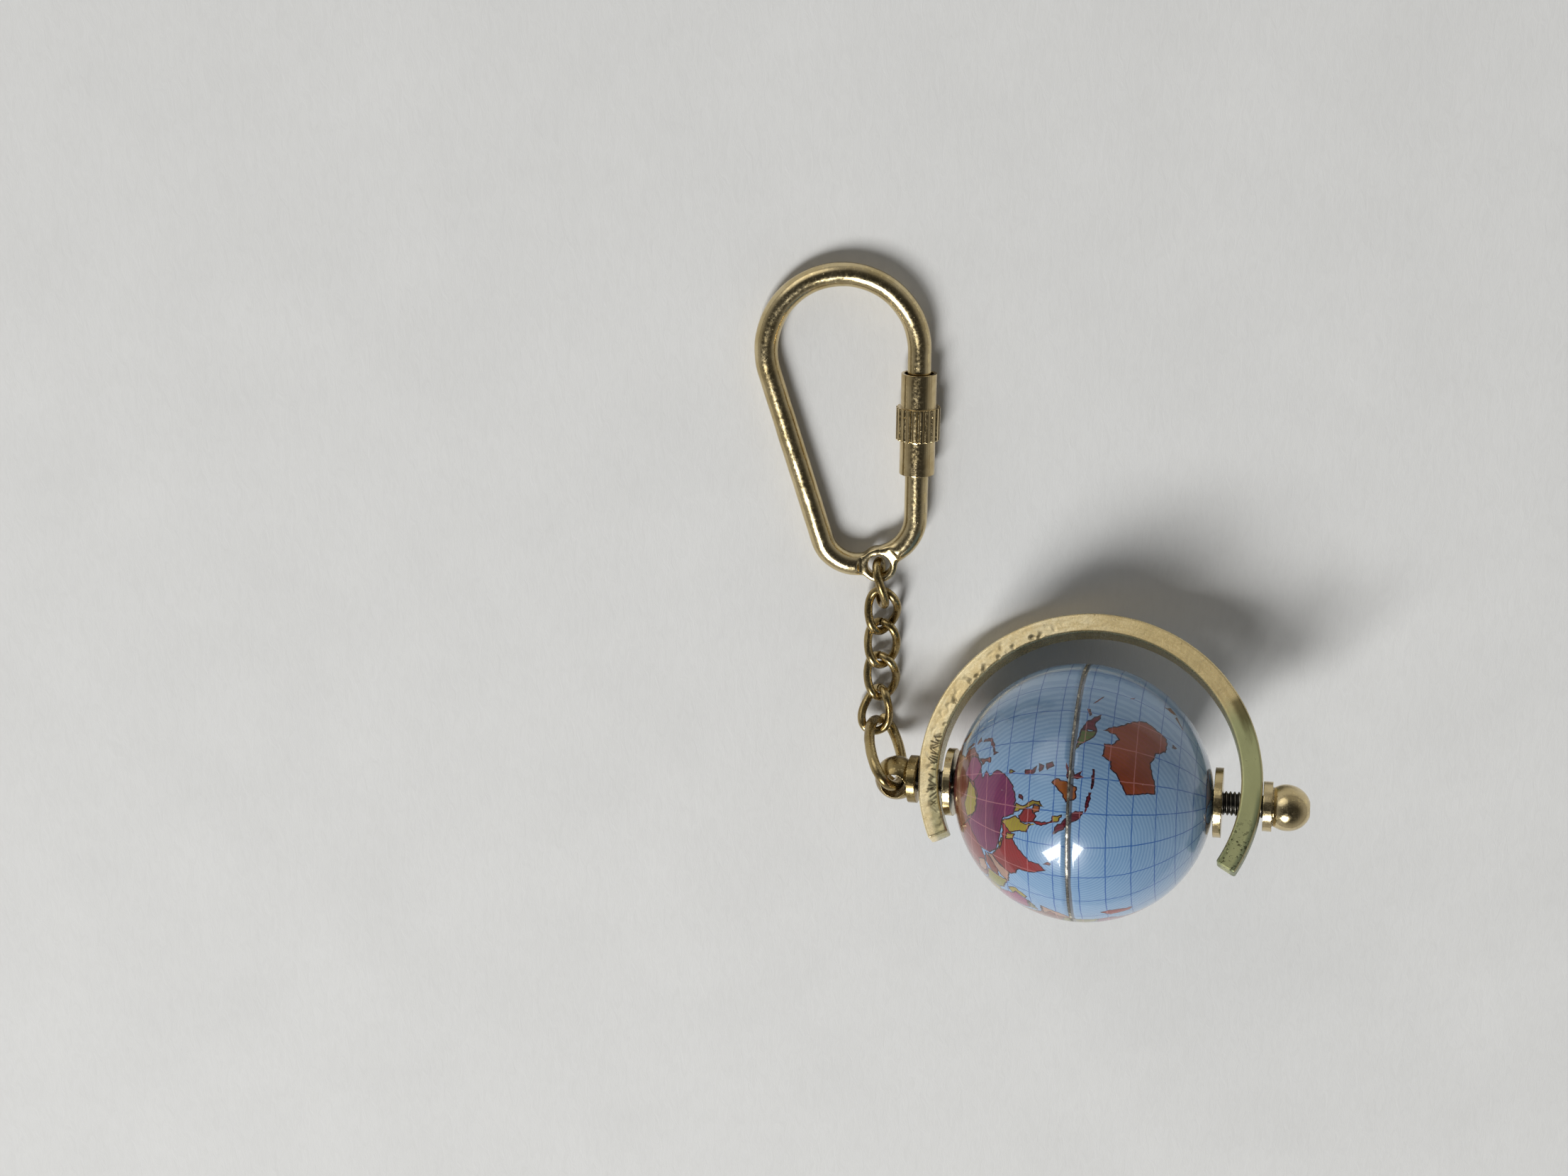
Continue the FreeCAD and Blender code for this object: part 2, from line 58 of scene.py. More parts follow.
# Arc in the axle's frame: X across its depth, Y to the back, Z to the south.
ARC_INNER = 18.6 * MM
ARC_OUTER = 21.2 * MM
ARC_DEPTH = 3.3 * MM
ARC_BACK = 1.8 * MM
ARC_SOUTH = 0.5 * MM
ARC_FIRST_DEG = -117.0
ARC_LAST_DEG = 120.0
ARC_EDGE = 0.3 * MM
ARC_STEP = 0.07 * MM
ARC_SECTION_STEP = 0.11 * MM
ARC_MIDDLE = (ARC_OUTER + ARC_INNER) / 2
ARC_FLAT_WIDTH = (ARC_OUTER - ARC_INNER) / 2 - ARC_EDGE
ARC_FLAT_DEPTH = ARC_DEPTH / 2 - ARC_EDGE

CAMERA_PLACE = Vector((-30.0, 72.2, 216.7)) * MM
CAMERA_TILT_DEG = -19.0
CAMERA_LENS_MM = 40.69
SENSOR_WIDTH_MM = 36.0

# Printed map, in degrees: its latitudes are spread a little toward the poles.
LATITUDE_STRETCH = 1.08
MERIDIAN_STEP = 15.0
PARALLEL_STEP = 11.0
FACING_MERIDIAN = 114.0
BORDER_WIDTH = 0.6
COAST_STEP = 1.1
COAST_JAG = 0.32
NET_RING_STEP = 2.4
NET_POINT_STEP = 2.5
# A land whose nearest point is this far from a pole isn't painted on that pole's half.
CHART_REACH = 92.0


def axle_frame():
    """Globe's frame: Z along the axle to the south, Y to the back of the arc, X away from its face."""
    level = Vector((0, 0, 1)).cross(AXLE).normalized()
    up = AXLE.cross(level)
    back = level * math.cos(GLOBE_ROLL) - up * math.sin(GLOBE_ROLL)
    side = back.cross(AXLE)
    turn = Matrix((side, back, AXLE)).transposed().to_4x4()
    return Matrix.Translation(GLOBE_CENTRE) @ turn


def map_frame():
    """Globe's printed frame: Z to the north pole, X to the prime meridian."""
    north = -AXLE
    camera_side = (CAMERA_PLACE - GLOBE_CENTRE).normalized()
    facing = (camera_side - north * camera_side.dot(north)).normalized()
    east = north.cross(facing)
    angle = math.radians(FACING_MERIDIAN)
    prime = facing * math.cos(angle) - east * math.sin(angle)
    ninety = north.cross(prime)
    turn = Matrix((prime, ninety, north)).transposed().to_4x4()
    return Matrix.Translation(GLOBE_CENTRE) @ turn


AXLE_FRAME = axle_frame()
MAP_FRAME = map_frame()


# ---------------------------------------------------------------- node materials

class Nodes:
    """Shorthand for building a node tree."""

    def __init__(self, name):
        self.material = bpy.data.materials.new(name)
        self.material.use_nodes = True
        self.tree = self.material.node_tree
        self.shader = self.tree.nodes["Principled BSDF"]

    def add(self, kind, **settings):
        """New node of a kind, with its plain properties set."""
        node = self.tree.nodes.new("ShaderNode" + kind)
        for key, value in settings.items():
            setattr(node, key, value)
        return node

    def feed(self, node, socket, value):
        """Put a link or a constant into a socket."""
        target = node.inputs[socket]
        if isinstance(value, bpy.types.NodeSocket):
            self.tree.links.new(value, target)
        else:
            target.default_value = value
        return node

    def position(self, transform=None):
        """Place on the object, turned into another frame when one is given."""
        place = self.add("TexCoord").outputs["Object"]
        if transform is None:
            return place
        mapping = self.add("Mapping", vector_type="POINT")
        self.feed(mapping, "Vector", place)
        mapping.inputs["Location"].default_value = transform.to_translation()
        mapping.inputs["Rotation"].default_value = transform.to_euler()
        return mapping.outputs["Vector"]

    def stretched(self, place, scale):
        """Place scaled along each axis."""
        mapping = self.add("Mapping", vector_type="POINT")
        self.feed(mapping, "Vector", place)
        mapping.inputs["Scale"].default_value = scale
        return mapping.outputs["Vector"]

    def noise(self, place, size_mm, detail=4.0, roughness=0.55, distortion=0.0):
        """Cloudy value between 0 and 1 whose blotches measure about size_mm."""
        node = self.add("TexNoise")
        self.feed(node, "Vector", place)
        self.feed(node, "Scale", 1.0 / (size_mm * MM))
        self.feed(node, "Detail", detail)
        self.feed(node, "Roughness", roughness)
        self.feed(node, "Distortion", distortion)
        return node.outputs["Fac"]

    def maths(self, operation, first, second=0.0, *more):
        """Arithmetic on two or more values, taken from left to right."""
        node = self.add("Math", operation=operation)
        self.feed(node, 0, first)
        self.feed(node, 1, second)
        result = node.outputs[0]
        return self.maths(operation, result, *more) if more else result

    def times(self, *values):
        return self.maths("MULTIPLY", *values)

    def plus(self, *values):
        return self.maths("ADD", *values)

    def length(self, first, second):
        """Length of a step with two square parts."""
        squares = [self.maths("POWER", part, 2.0) for part in (first, second)]
        return self.maths("SQRT", self.plus(*squares))

    def degrees(self, rise, run):
        """Angle of a rise over a run."""
        return self.times(self.maths("ARCTAN2", rise, run), 180.0 / math.pi)

    def attribute(self, name):
        """Value that the mesh carries under a name."""
        return self.add("Attribute", attribute_name=name).outputs["Fac"]

    def pointiness(self):
        """High on sharp edges and low in recesses."""
        return self.add("NewGeometry").outputs["Pointiness"]

    def step(self, value, low, high, out_low=0.0, out_high=1.0):
        """Smooth ramp of a value from low to high."""
        node = self.add("MapRange", interpolation_type="SMOOTHSTEP")
        for socket, number in zip(("Value", "From Min", "From Max", "To Min", "To Max"),
                                  (value, low, high, out_low, out_high)):
            self.feed(node, socket, number)
        return node.outputs["Result"]

    def mix(self, share, first, second, blend="MIX"):
        """Mix of two colours."""
        node = self.add("Mix", data_type="RGBA", blend_type=blend)
        self.feed(node, "Factor", share)
        for socket, colour in (("A", first), ("B", second)):
            target = [i for i in node.inputs if i.name == socket and i.type == "RGBA"][0]
            if isinstance(colour, bpy.types.NodeSocket):
                self.tree.links.new(colour, target)
            else:
                target.default_value = (*colour, 1.0)
        return [o for o in node.outputs if o.type == "RGBA"][0]

    def stain(self, colour, mask, strength, tint):
        """Colour with a tint laid over it where the mask is."""
        return self.mix(self.times(mask, strength), colour, tint)

    def bump(self, height, distance_mm, strength=1.0, normal=None):
        """Normal that a height bends, laid over another normal when one is given."""
        node = self.add("Bump")
        self.feed(node, "Height", height)
        self.feed(node, "Strength", strength)
        self.feed(node, "Distance", distance_mm * MM)
        if normal is not None:
            self.feed(node, "Normal", normal)
        return node.outputs["Normal"]

    def surface(self, **values):
        """Set the shader's sockets; an underscore stands for a space in a socket's name."""
        for name, value in values.items():
            self.feed(self.shader, name.replace("_", " "), value)


def deeper(colour, share=0.6):
    """Darker, fuller version of a linear colour."""
    return tuple(channel * share for channel in colour)


def srgb(red, green, blue):
    """Linear colour from 0 to 255 screen values."""
    def linear(channel):
        part = channel / 255.0
        return part / 12.92 if part <= 0.04045 else ((part + 0.055) / 1.055) ** 2.4
    return linear(red), linear(green), linear(blue)


def brass_material(name, clean, aged, rough, patina, grain_mm=(0.25, 0.25, 0.25), grain=0.35):
    """Lacquered brass: blotchy colour, fine drawing marks, painted shade in recesses and pale worn edges.
    """
    n = Nodes(name)
    place = n.position()
    blotch = n.noise(place, 3.5, 5.0, 0.6, 0.4)
    fine = n.noise(place, 0.35, 6.0, 0.65)
    colour = n.mix(n.step(blotch, 0.35, 0.7), clean, aged)
    pits = n.step(n.noise(place, 0.5, 3.0, 0.7), 0.68, 0.74)
    colour = n.stain(colour, pits, patina, srgb(70, 58, 34))
    wear_and_shade = n.pointiness()
    # Painted shade: darker in recesses, where the pointiness is low.
    colour = n.mix(n.step(wear_and_shade, 0.5, 0.43, 0.0, 0.75), colour, srgb(48, 40, 24))
    # Pale worn edges, where the pointiness is high.
    colour = n.mix(n.step(wear_and_shade, 0.53, 0.6, 0.0, 0.55), colour, srgb(238, 216, 160))
    streaks = n.noise(n.stretched(place, tuple(1.0 / v for v in grain_mm)), 1000.0, 3.0, 0.6)
    roughness = n.plus(n.step(fine, 0.3, 0.75, -0.07, 0.1), rough)
    roughness = n.plus(roughness, n.times(pits, 0.18))
    normal = n.bump(streaks, 0.006, grain)
    normal = n.bump(fine, 0.008, 0.25, normal)
    normal = n.bump(pits, -0.03, 0.5, normal)
    n.surface(Base_Color=colour, Metallic=1.0, Roughness=roughness, Normal=normal)
    return n.material


def arc_brass():
    """Arc's brass: rubbed pale gold to the north, browner and greener with verdigris to the south.

    Lengths are in metres. Angles run in degrees about the arc's centre, from the south to the back.
    """
    n = Nodes("arc_brass")
    place = n.position()
    local = n.position(AXLE_FRAME.inverted())
    axes = n.add("SeparateXYZ")
    n.feed(axes, 0, local)
    along = axes.outputs["Z"]
    back = axes.outputs["Y"]
    out = n.maths("SUBTRACT", back, ARC_BACK)
    away = n.maths("SUBTRACT", along, ARC_SOUTH)
    angle = n.degrees(out, away)
    reach = n.length(out, away)
    blotch = n.noise(place, 2.6, 5.0, 0.6, 0.6)

    # Gold that turns warmer and then green to the south, duller on the inner wall, with specks.
    colour = n.mix(n.step(blotch, 0.35, 0.68), srgb(246, 230, 186), srgb(234, 212, 160))
    warm = n.step(n.plus(along, n.times(blotch, 0.006)), -0.002, 0.010)
    colour = n.mix(warm, colour, srgb(224, 202, 148))
    south = n.step(n.plus(along, n.times(blotch, 0.004)), 0.0165, 0.0185)
    green = n.times(south, n.step(back, 0.0135, 0.0095))
    colour = n.mix(green, colour, srgb(182, 184, 134))
    inner = n.step(n.plus(n.length(along, back), n.times(blotch, 0.0007)), 0.0197, 0.0190)
    colour = n.stain(colour, inner, 0.55, srgb(112, 122, 84))
    specks = n.step(n.noise(place, 0.55, 4.0, 0.75), 0.66, 0.71)
    specks = n.times(specks, n.step(n.noise(place, 5.0, 2.0), 0.42, 0.6))
    colour = n.stain(colour, specks, 0.7, srgb(74, 62, 36))

    # Streaks round the arc, a brown smudge, green tarnish on the rim and dark pits.
    polar_place = n.add("CombineXYZ")
    n.feed(polar_place, "X", reach)
    n.feed(polar_place, "Y", n.times(angle, 0.00004))
    streak = n.noise(polar_place.outputs[0], 0.45, 4.0, 0.6)
    ragged = n.plus(angle, n.times(n.maths("SUBTRACT", streak, 0.5), 14.0))
    brushed = n.times(n.step(streak, 0.45, 0.62), n.step(angle, 20.0, 34.0))
    colour = n.stain(colour, brushed, 0.5, srgb(206, 182, 128))
    smudge = n.times(n.step(ragged, 15.0, 26.0), n.step(angle, 34.0, 31.0))
    rim = n.step(n.plus(reach, n.times(blotch, 0.0006)), 0.0197, 0.0206)
    colour = n.stain(colour, n.times(smudge, rim), 0.8, srgb(86, 76, 40))
    southern = n.step(away, 0.002, 0.006)
    tarnish = n.times(n.step(reach, 0.0203, 0.0208), n.step(ragged, 2.0, -8.0), southern)
    colour = n.stain(colour, tarnish, 0.6, srgb(74, 92, 74))
    pits = n.step(n.noise(place, 0.42, 3.0, 0.6), 0.56, 0.62)
    pits = n.times(pits, n.step(angle, -8.0, -22.0), southern)
    colour = n.stain(colour, pits, 0.8, srgb(58, 56, 30))

    # Marks that arc_marks writes on the mesh; the hammer marks' hollows get painted shade.
    hollow_shade = n.attribute("hollow_shade")
    colour = n.mix(n.step(hollow_shade, 0.3, 1.0, 0.0, 0.45), colour, srgb(84, 72, 42))
    rubbed = n.step(n.attribute("rubbed"), 0.3, 0.9)
    colour = n.stain(colour, rubbed, 0.6, srgb(244, 226, 176))
    nick = n.step(n.attribute("nick"), 0.15, 0.8)
    colour = n.stain(colour, nick, 0.85, srgb(52, 42, 26))

    fine = n.noise(place, 0.3, 6.0, 0.65)
    ripple = n.noise(place, 1.4, 4.0, 0.6, 1.2)
    rough = n.plus(n.step(fine, 0.3, 0.75, -0.05, 0.1), 0.27)
    rough = n.plus(rough, n.times(green, 0.1))
    normal = n.bump(ripple, 0.05, 0.4)
    normal = n.bump(fine, 0.008, 0.25, normal)
    normal = n.bump(specks, -0.04, 0.6, normal)
    normal = n.bump(pits, -0.05, 0.6, normal)
    n.surface(Base_Color=colour, Metallic=0.72, Roughness=rough, Normal=normal)
    return n.material


def steel_material():
    """Blackened screw steel with bright rubbed crests."""
    n = Nodes("axle_steel")
    place = n.position()
    wear_and_shade = n.pointiness()
    colour = n.mix(n.noise(place, 0.8), srgb(58, 56, 54), srgb(92, 88, 82))
    colour = n.mix(n.step(wear_and_shade, 0.52, 0.6), colour, srgb(170, 165, 156))
    fine = n.noise(place, 0.2, 5.0, 0.7)
    n.surface(Base_Color=colour, Metallic=1.0, Roughness=n.step(fine, 0.2, 0.8, 0.25, 0.5),
              Normal=n.bump(fine, 0.02, 0.4))
    return n.material


def tin_material():
    """Bare tin inside the globe's shells."""
    n = Nodes("bare_tin")
    place = n.position()
    fine = n.noise(place, 0.6, 5.0, 0.6)
    n.surface(Base_Color=n.mix(fine, srgb(120, 118, 112), srgb(160, 156, 148)), Metallic=1.0,
              Roughness=n.step(fine, 0.2, 0.8, 0.35, 0.55), Normal=n.bump(fine, 0.02, 0.3))
    return n.material


def seam_material():
    """Grey metal of the seam, rubbed bright on its crest, with painted shade at its sides."""
    n = Nodes("seam_grey")
    place = n.position()
    fine = n.noise(place, 0.35, 5.0, 0.7)
    worn = n.step(n.noise(place, 1.8, 3.0, 0.6), 0.5, 0.62)
    colour = n.mix(fine, srgb(84, 82, 78), srgb(150, 146, 136))
    colour = n.mix(worn, colour, srgb(214, 208, 192))
    wear_and_shade = n.pointiness()
    # Painted shade: the seam's hollows are darkened where the pointiness is low.
    colour = n.mix(n.step(wear_and_shade, 0.5, 0.42, 0.0, 0.9), colour, srgb(36, 34, 32))
    n.surface(Base_Color=colour, Metallic=0.85, Roughness=n.step(fine, 0.3, 0.8, 0.22, 0.5),
              Normal=n.bump(fine, 0.06, 0.6))
    return n.material


def print_material():
    """Varnished print: the mesh carries its colours; graticule, screen lines and scuffs lie over them."""
    n = Nodes("map_print")
    local = n.position(MAP_FRAME.inverted())
    axes = n.add("SeparateXYZ")
    n.feed(axes, 0, local)
    east, ninety, north = axes.outputs
    ink = n.add("VertexColor", layer_name="ink").outputs["Color"]
    sea = n.attribute("sea")
    longitude = n.degrees(ninety, east)
    level = n.length(east, ninety)
    latitude = n.degrees(north, level)
    waver = n.times(n.maths("SUBTRACT", n.noise(local, 2.0), 0.5), 0.9)
    degree = GLOBE_RADIUS * math.pi / 180.0

    def lines(angle, every, scale):
        """Distance to the nearest line of a set, in millimetres; two turns keep the angle positive."""
        share = n.maths("FRACT", n.maths("DIVIDE", n.plus(angle, waver, 720.0), every))
        off = n.maths("SUBTRACT", 0.5, n.maths("ABSOLUTE", n.maths("SUBTRACT", share, 0.5)))
        return n.times(off, every * degree / MM, scale)

    meridian = lines(longitude, MERIDIAN_STEP, n.maths("DIVIDE", level, GLOBE_RADIUS))
    parallel = lines(latitude, PARALLEL_STEP, 1.0)
    line = n.step(n.maths("MINIMUM", meridian, parallel), 0.085, 0.045)
    line = n.times(line, n.step(n.noise(local, 1.2), 0.25, 0.5, 0.55, 1.0))
    cloud = n.noise(local, 6.0, 4.0, 0.6)
    screen = n.add("TexWave", wave_type="RINGS", rings_direction="Y")
    n.feed(screen, "Vector", local)
    n.feed(screen, "Scale", 900.0)
    n.feed(screen, "Distortion", 1.5)
    n.feed(screen, "Detail", 1.0)
    hatch = n.step(screen.outputs["Fac"], 0.35, 0.65)
    water = n.mix(cloud, srgb(98, 134, 174), srgb(128, 162, 194))
    water = n.stain(water, hatch, 0.3, srgb(160, 190, 214))
    water = n.mix(line, water, srgb(52, 96, 158))
    land = n.stain(ink, hatch, 0.16, srgb(150, 70, 90))
    land = n.mix(n.step(cloud, 0.4, 0.7, 0.15, 0.5), land, srgb(120, 96, 96), "MULTIPLY")
    land = n.stain(land, line, 0.3, srgb(214, 150, 150))
    colour = n.mix(sea, land, water)
    scuff = n.noise(n.stretched(local, (3.2, 0.5, 1.0)), 0.6, 5.0, 0.7, 0.8)
    scuff = n.times(n.step(scuff, 0.67, 0.72), n.step(n.noise(local, 7.0), 0.45, 0.6))
    colour = n.stain(colour, scuff, 0.45, srgb(196, 190, 180))
    grime = n.step(n.noise(local, 0.9, 4.0, 0.7), 0.68, 0.74)
    colour = n.stain(colour, grime, 0.35, srgb(50, 52, 60))
    # Painted shade: a dark line on the print just south of the seam, where the joint's step is shaded.
    edge = n.step(n.plus(north, n.times(cloud, 0.0003)), -0.00042, -0.00025)
    edge = n.times(edge, n.step(north, 0.0002, 0.0))
    colour = n.stain(colour, edge, 0.85, srgb(40, 40, 44))
    roughness = n.plus(n.times(scuff, 0.25), n.step(cloud, 0.3, 0.7, 0.24, 0.36))
    dent = n.noise(local, 4.5, 3.0, 0.5)
    normal = n.bump(n.noise(local, 0.4, 3.0, 0.6), 0.01, 0.25)
    normal = n.bump(dent, 0.05, 0.35, normal)
    n.surface(Base_Color=colour, Roughness=roughness, Normal=normal,
              Coat_Weight=0.9, Coat_Roughness=0.07, Coat_IOR=1.5)
    return n.material


def floor_material():
    """Matt off-white board with faint fibres."""
    n = Nodes("board")
    place = n.position()
    fibres = n.noise(n.stretched(place, (1.0, 0.35, 1.0)), 0.9, 5.0, 0.7, 1.0)
    cloud = n.noise(place, 18.0, 4.0, 0.6)
    colour = n.mix(cloud, srgb(217, 217, 215), srgb(229, 229, 227))
    colour = n.mix(n.step(fibres, 0.35, 0.75, 0.0, 0.14), colour, srgb(196, 195, 192))
    n.surface(Base_Color=colour, Roughness=0.75, Normal=n.bump(fibres, 0.12, 0.35))
    return n.material


BRASS = brass_material("brass", srgb(214, 196, 154), srgb(190, 170, 124), 0.2, 0.5)
# Darker copy of the brass for the chain and the north ball nut beside it: its darkness is painted shade
# of the crowded chain end, its heavier pitting is patina.
SHADED_CHAIN_BRASS = brass_material("chain_brass", srgb(178, 158, 112), srgb(136, 116, 74), 0.26, 0.8)
SLEEVE_BRASS = brass_material(
    "sleeve_brass", srgb(212, 192, 148), srgb(188, 166, 120), 0.16, 0.35, (0.05, 0.05, 3.0), 0.5)
ARC_BRASS = arc_brass()
STEEL = steel_material()
TIN = tin_material()
SEAM = seam_material()
PRINT = print_material()


# ---------------------------------------------------------------- pieces
def show(name, mesh, materials, body, slot, *replaced):
    """Add a mesh to the scene as a piece that rides on a body and stands for CAD nodes."""
    piece = bpy.data.objects.new(name, mesh)
    bpy.context.scene.collection.objects.link(piece)
    for material in materials:
        mesh.materials.append(material)
    for polygon in mesh.polygons:
        polygon.use_smooth = True
    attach(piece, body)
    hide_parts(*replaced)


def evaluated(piece):
    """Mesh of an object with its modifiers applied."""
    graph = bpy.context.evaluated_depsgraph_get()
    graph.update()
    return bpy.data.meshes.new_from_object(
        piece.evaluated_get(graph), preserve_all_data_layers=True, depsgraph=graph)


def refined_copy(node, voxel_mm, rounding):
    """Fine even copy of a CAD node's mesh with its edges slightly rounded."""
    carrier = bpy.data.objects.new("carrier", frame["nodes"][node].data.copy())
    bpy.context.scene.collection.objects.link(carrier)
    weld = carrier.modifiers.new("weld", "WELD")
    weld.merge_threshold = 1e-6
    remesh = carrier.modifiers.new("remesh", "REMESH")
    remesh.mode = "VOXEL"
    remesh.voxel_size = voxel_mm * MM
    smooth = carrier.modifiers.new("smooth", "SMOOTH")
    smooth.factor = 0.5
    smooth.iterations = rounding
    mesh = evaluated(carrier)
    bpy.data.objects.remove(carrier)
    mesh.materials.clear()
    mesh.name = node + "_fine"
    return mesh


def roughen(mesh, size_mm, depth_mm, seed):
    """Wear a mesh's points down along their normals by a cloudy amount."""
    shift = Vector((seed * 3.1, seed * 1.7, seed * 2.3))
    normals = [vertex.normal.copy() for vertex in mesh.vertices]
    for vertex, normal in zip(mesh.vertices, normals):
        height = noise.noise(vertex.co / (size_mm * MM) + shift)
        vertex.co += normal * ((height - 1.0) * depth_mm * MM)
    mesh.update()


def soften_near(mesh, centre, low, high, passes):
    """Even out the mesh between two distances from a point, as a casting's worn corners are."""
    co = np.array([vertex.co for vertex in mesh.vertices])
    edges = np.array([edge.vertices[:] for edge in mesh.edges])
    reach = np.linalg.norm(co - np.array(centre), axis=1)
    share = np.clip((high - reach) / (0.6 * MM), 0, 1) * np.clip((reach - low) / (0.3 * MM), 0, 1)
    count = np.bincount(edges.ravel(), minlength=len(co))[:, None]
    for _ in range(passes):
        total = np.zeros_like(co)
        np.add.at(total, edges[:, 0], co[edges[:, 1]])
        np.add.at(total, edges[:, 1], co[edges[:, 0]])
        co += 0.6 * share[:, None] * (total / np.maximum(count, 1) - co)
    mesh.vertices.foreach_set("co", co.ravel())
    mesh.update()


def make_carabiner():
    """Bent rod whose eye lug is worn round like a casting."""
    mesh = refined_copy("carabiner_rod", 0.11, 4)
    eye = Vector(JOINTS["carabiner_swing"]["pos_m"])
    soften_near(mesh, eye, 1.5 * MM, 4.2 * MM, 26)
    roughen(mesh, 2.2, 0.035, 13)
    show("carabiner_rod_brass", mesh, [BRASS], "carabiner", "brass", "carabiner_rod")


def refined_brass(node, body, slot, material, voxel_mm, rounding, dents):
    """Brass piece made from a CAD node: refined and dented, in a pattern that its name's length picks."""
    mesh = refined_copy(node, voxel_mm, rounding)
    size_mm, depth_mm = dents
    roughen(mesh, size_mm, depth_mm, len(node))
    show(node + "_brass", mesh, [material], body, slot, node)


def arc_section():
    """Rounded rectangle of the arc's strip: distances from its middle radius and its middle plane."""
    corners = ((1, 1), (-1, 1), (-1, -1), (1, -1))
    points = []
    for number, (width_side, depth_side) in enumerate(corners):
        for step in range(6):
            angle = math.radians(90 * number + 90 * step / 5)
            points.append((
                width_side * ARC_FLAT_WIDTH + ARC_EDGE * math.cos(angle),
                depth_side * ARC_FLAT_DEPTH + ARC_EDGE * math.sin(angle),
            ))
        after_width, after_depth = corners[(number + 1) % 4]
        last = points[-1]
        end_angle = math.radians(90 * (number + 1))
        end = (after_width * ARC_FLAT_WIDTH + ARC_EDGE * math.cos(end_angle),
               after_depth * ARC_FLAT_DEPTH + ARC_EDGE * math.sin(end_angle))
        count = round(math.dist(last, end) / ARC_SECTION_STEP)
        for step in range(1, count):
            share = step / count
            points.append(tuple(a + (b - a) * share for a, b in zip(last, end)))
    return points


def arc_marks(mesh):
    """Hammer marks near the arc's inner edge and short radial nicks, on one face and toward the north.

    Angles run in degrees from the north to the back; the nicks' other measures are in millimetres.
    """
    first, last = -27.0, 80.0
    chip_size = 0.85 * MM
    chip_depth, nick_depth = 0.26, 0.09
    nick_half_width = 0.1
    inverse = AXLE_FRAME.inverted()
    inward = AXLE_FRAME.to_3x3() @ Vector((1, 0, 0))
    draw = random.Random(3)
    nicks = [
        (draw.uniform(-17, 12), draw.uniform(0.12, 0.5), draw.uniform(0.35, 1.1), draw.uniform(-2.5, 2.5))
        for _ in range(26)
    ]
    dirt = mesh.attributes.new("nick", "FLOAT", "POINT")
    hollow_shade = mesh.attributes.new("hollow_shade", "FLOAT", "POINT")
    rubbed = mesh.attributes.new("rubbed", "FLOAT", "POINT")
    for vertex in mesh.vertices:
        place = inverse @ vertex.co
        across, along = place.y - ARC_BACK, place.z - ARC_SOUTH
        reach = math.hypot(across, along)
        corner = min(abs(reach - ARC_MIDDLE) - ARC_FLAT_WIDTH, abs(place.x) - ARC_FLAT_DEPTH) / ARC_EDGE
        rubbed.data[vertex.index].value = min(1.0, max(0.0, 1.4 * corner))
        angle = math.degrees(math.atan2(across, -along))
        if place.x > -1.2 * MM or not first < angle < last:
            continue
        inner = (reach - ARC_INNER) / MM
        fade = min(1.0, (angle - first) / 8.0, (last - angle) / 15.0)
        near_edge = max(0.0, 1.0 - abs(inner - 0.45) / 1.5)
        chip = noise.noise(Vector((across, along, 0.0)) / chip_size)
        depth = max(0.0, chip - 0.08) * near_edge * fade * chip_depth
        scratch = 0.0
        for at, start, length, slant in nicks:
            if start < inner < start + length:
                off = abs(angle - at - slant * (inner - start)) * math.radians(ARC_INNER / MM)
                scratch = max(scratch, 1.0 - off / nick_half_width)
        depth += nick_depth * scratch
        dirt.data[vertex.index].value = scratch
        # The dent's depth also sets the painted shade in its hollow.
        hollow_shade.data[vertex.index].value = min(1.0, depth / 0.12)
        vertex.co += inward * (depth * MM)
    mesh.update()


def make_arc():
    """C-shaped strip with softened edges and ends, swept round the back of the globe."""
    section = arc_section()
    sweep = math.radians(ARC_LAST_DEG - ARC_FIRST_DEG)
    count = round(sweep * ARC_MIDDLE / ARC_STEP)
    bm = bmesh.new()
    rings = []
    for step in range(count + 1):
        travel = sweep * ARC_MIDDLE * step / count
        end = min(travel, sweep * ARC_MIDDLE - travel)
        bevel = max(0.0, 1.0 - end / ARC_EDGE)
        shrink = ARC_EDGE * (1.0 - math.sqrt(1.0 - bevel * bevel))
        angle = math.radians(ARC_FIRST_DEG) + sweep * step / count
        ring = []
        for width, depth in section:
            width -= math.copysign(min(shrink, abs(width)), width)
            depth -= math.copysign(min(shrink, abs(depth)), depth)
            radius = ARC_MIDDLE + width
            ring.append(bm.verts.new((
                depth, ARC_BACK + radius * math.cos(angle), ARC_SOUTH + radius * math.sin(angle))))
        rings.append(ring)
    around = len(section)
    for here, after in zip(rings, rings[1:]):
        for side in range(around):
            upper = (side + 1) % around
            bm.faces.new((here[side], here[upper], after[upper], after[side]))
    bm.faces.new(rings[0][::-1])
    bm.faces.new(rings[-1])
    bm.transform(AXLE_FRAME)
    bmesh.ops.recalc_face_normals(bm, faces=bm.faces)
    mesh = bpy.data.meshes.new("arc_strip")
    bm.to_mesh(mesh)
    bm.free()
    arc_marks(mesh)
    roughen(mesh, 3.0, 0.02, 4)
    show("arc_strip", mesh, [ARC_BRASS], "globe_frame", "brass", "arc_frame")


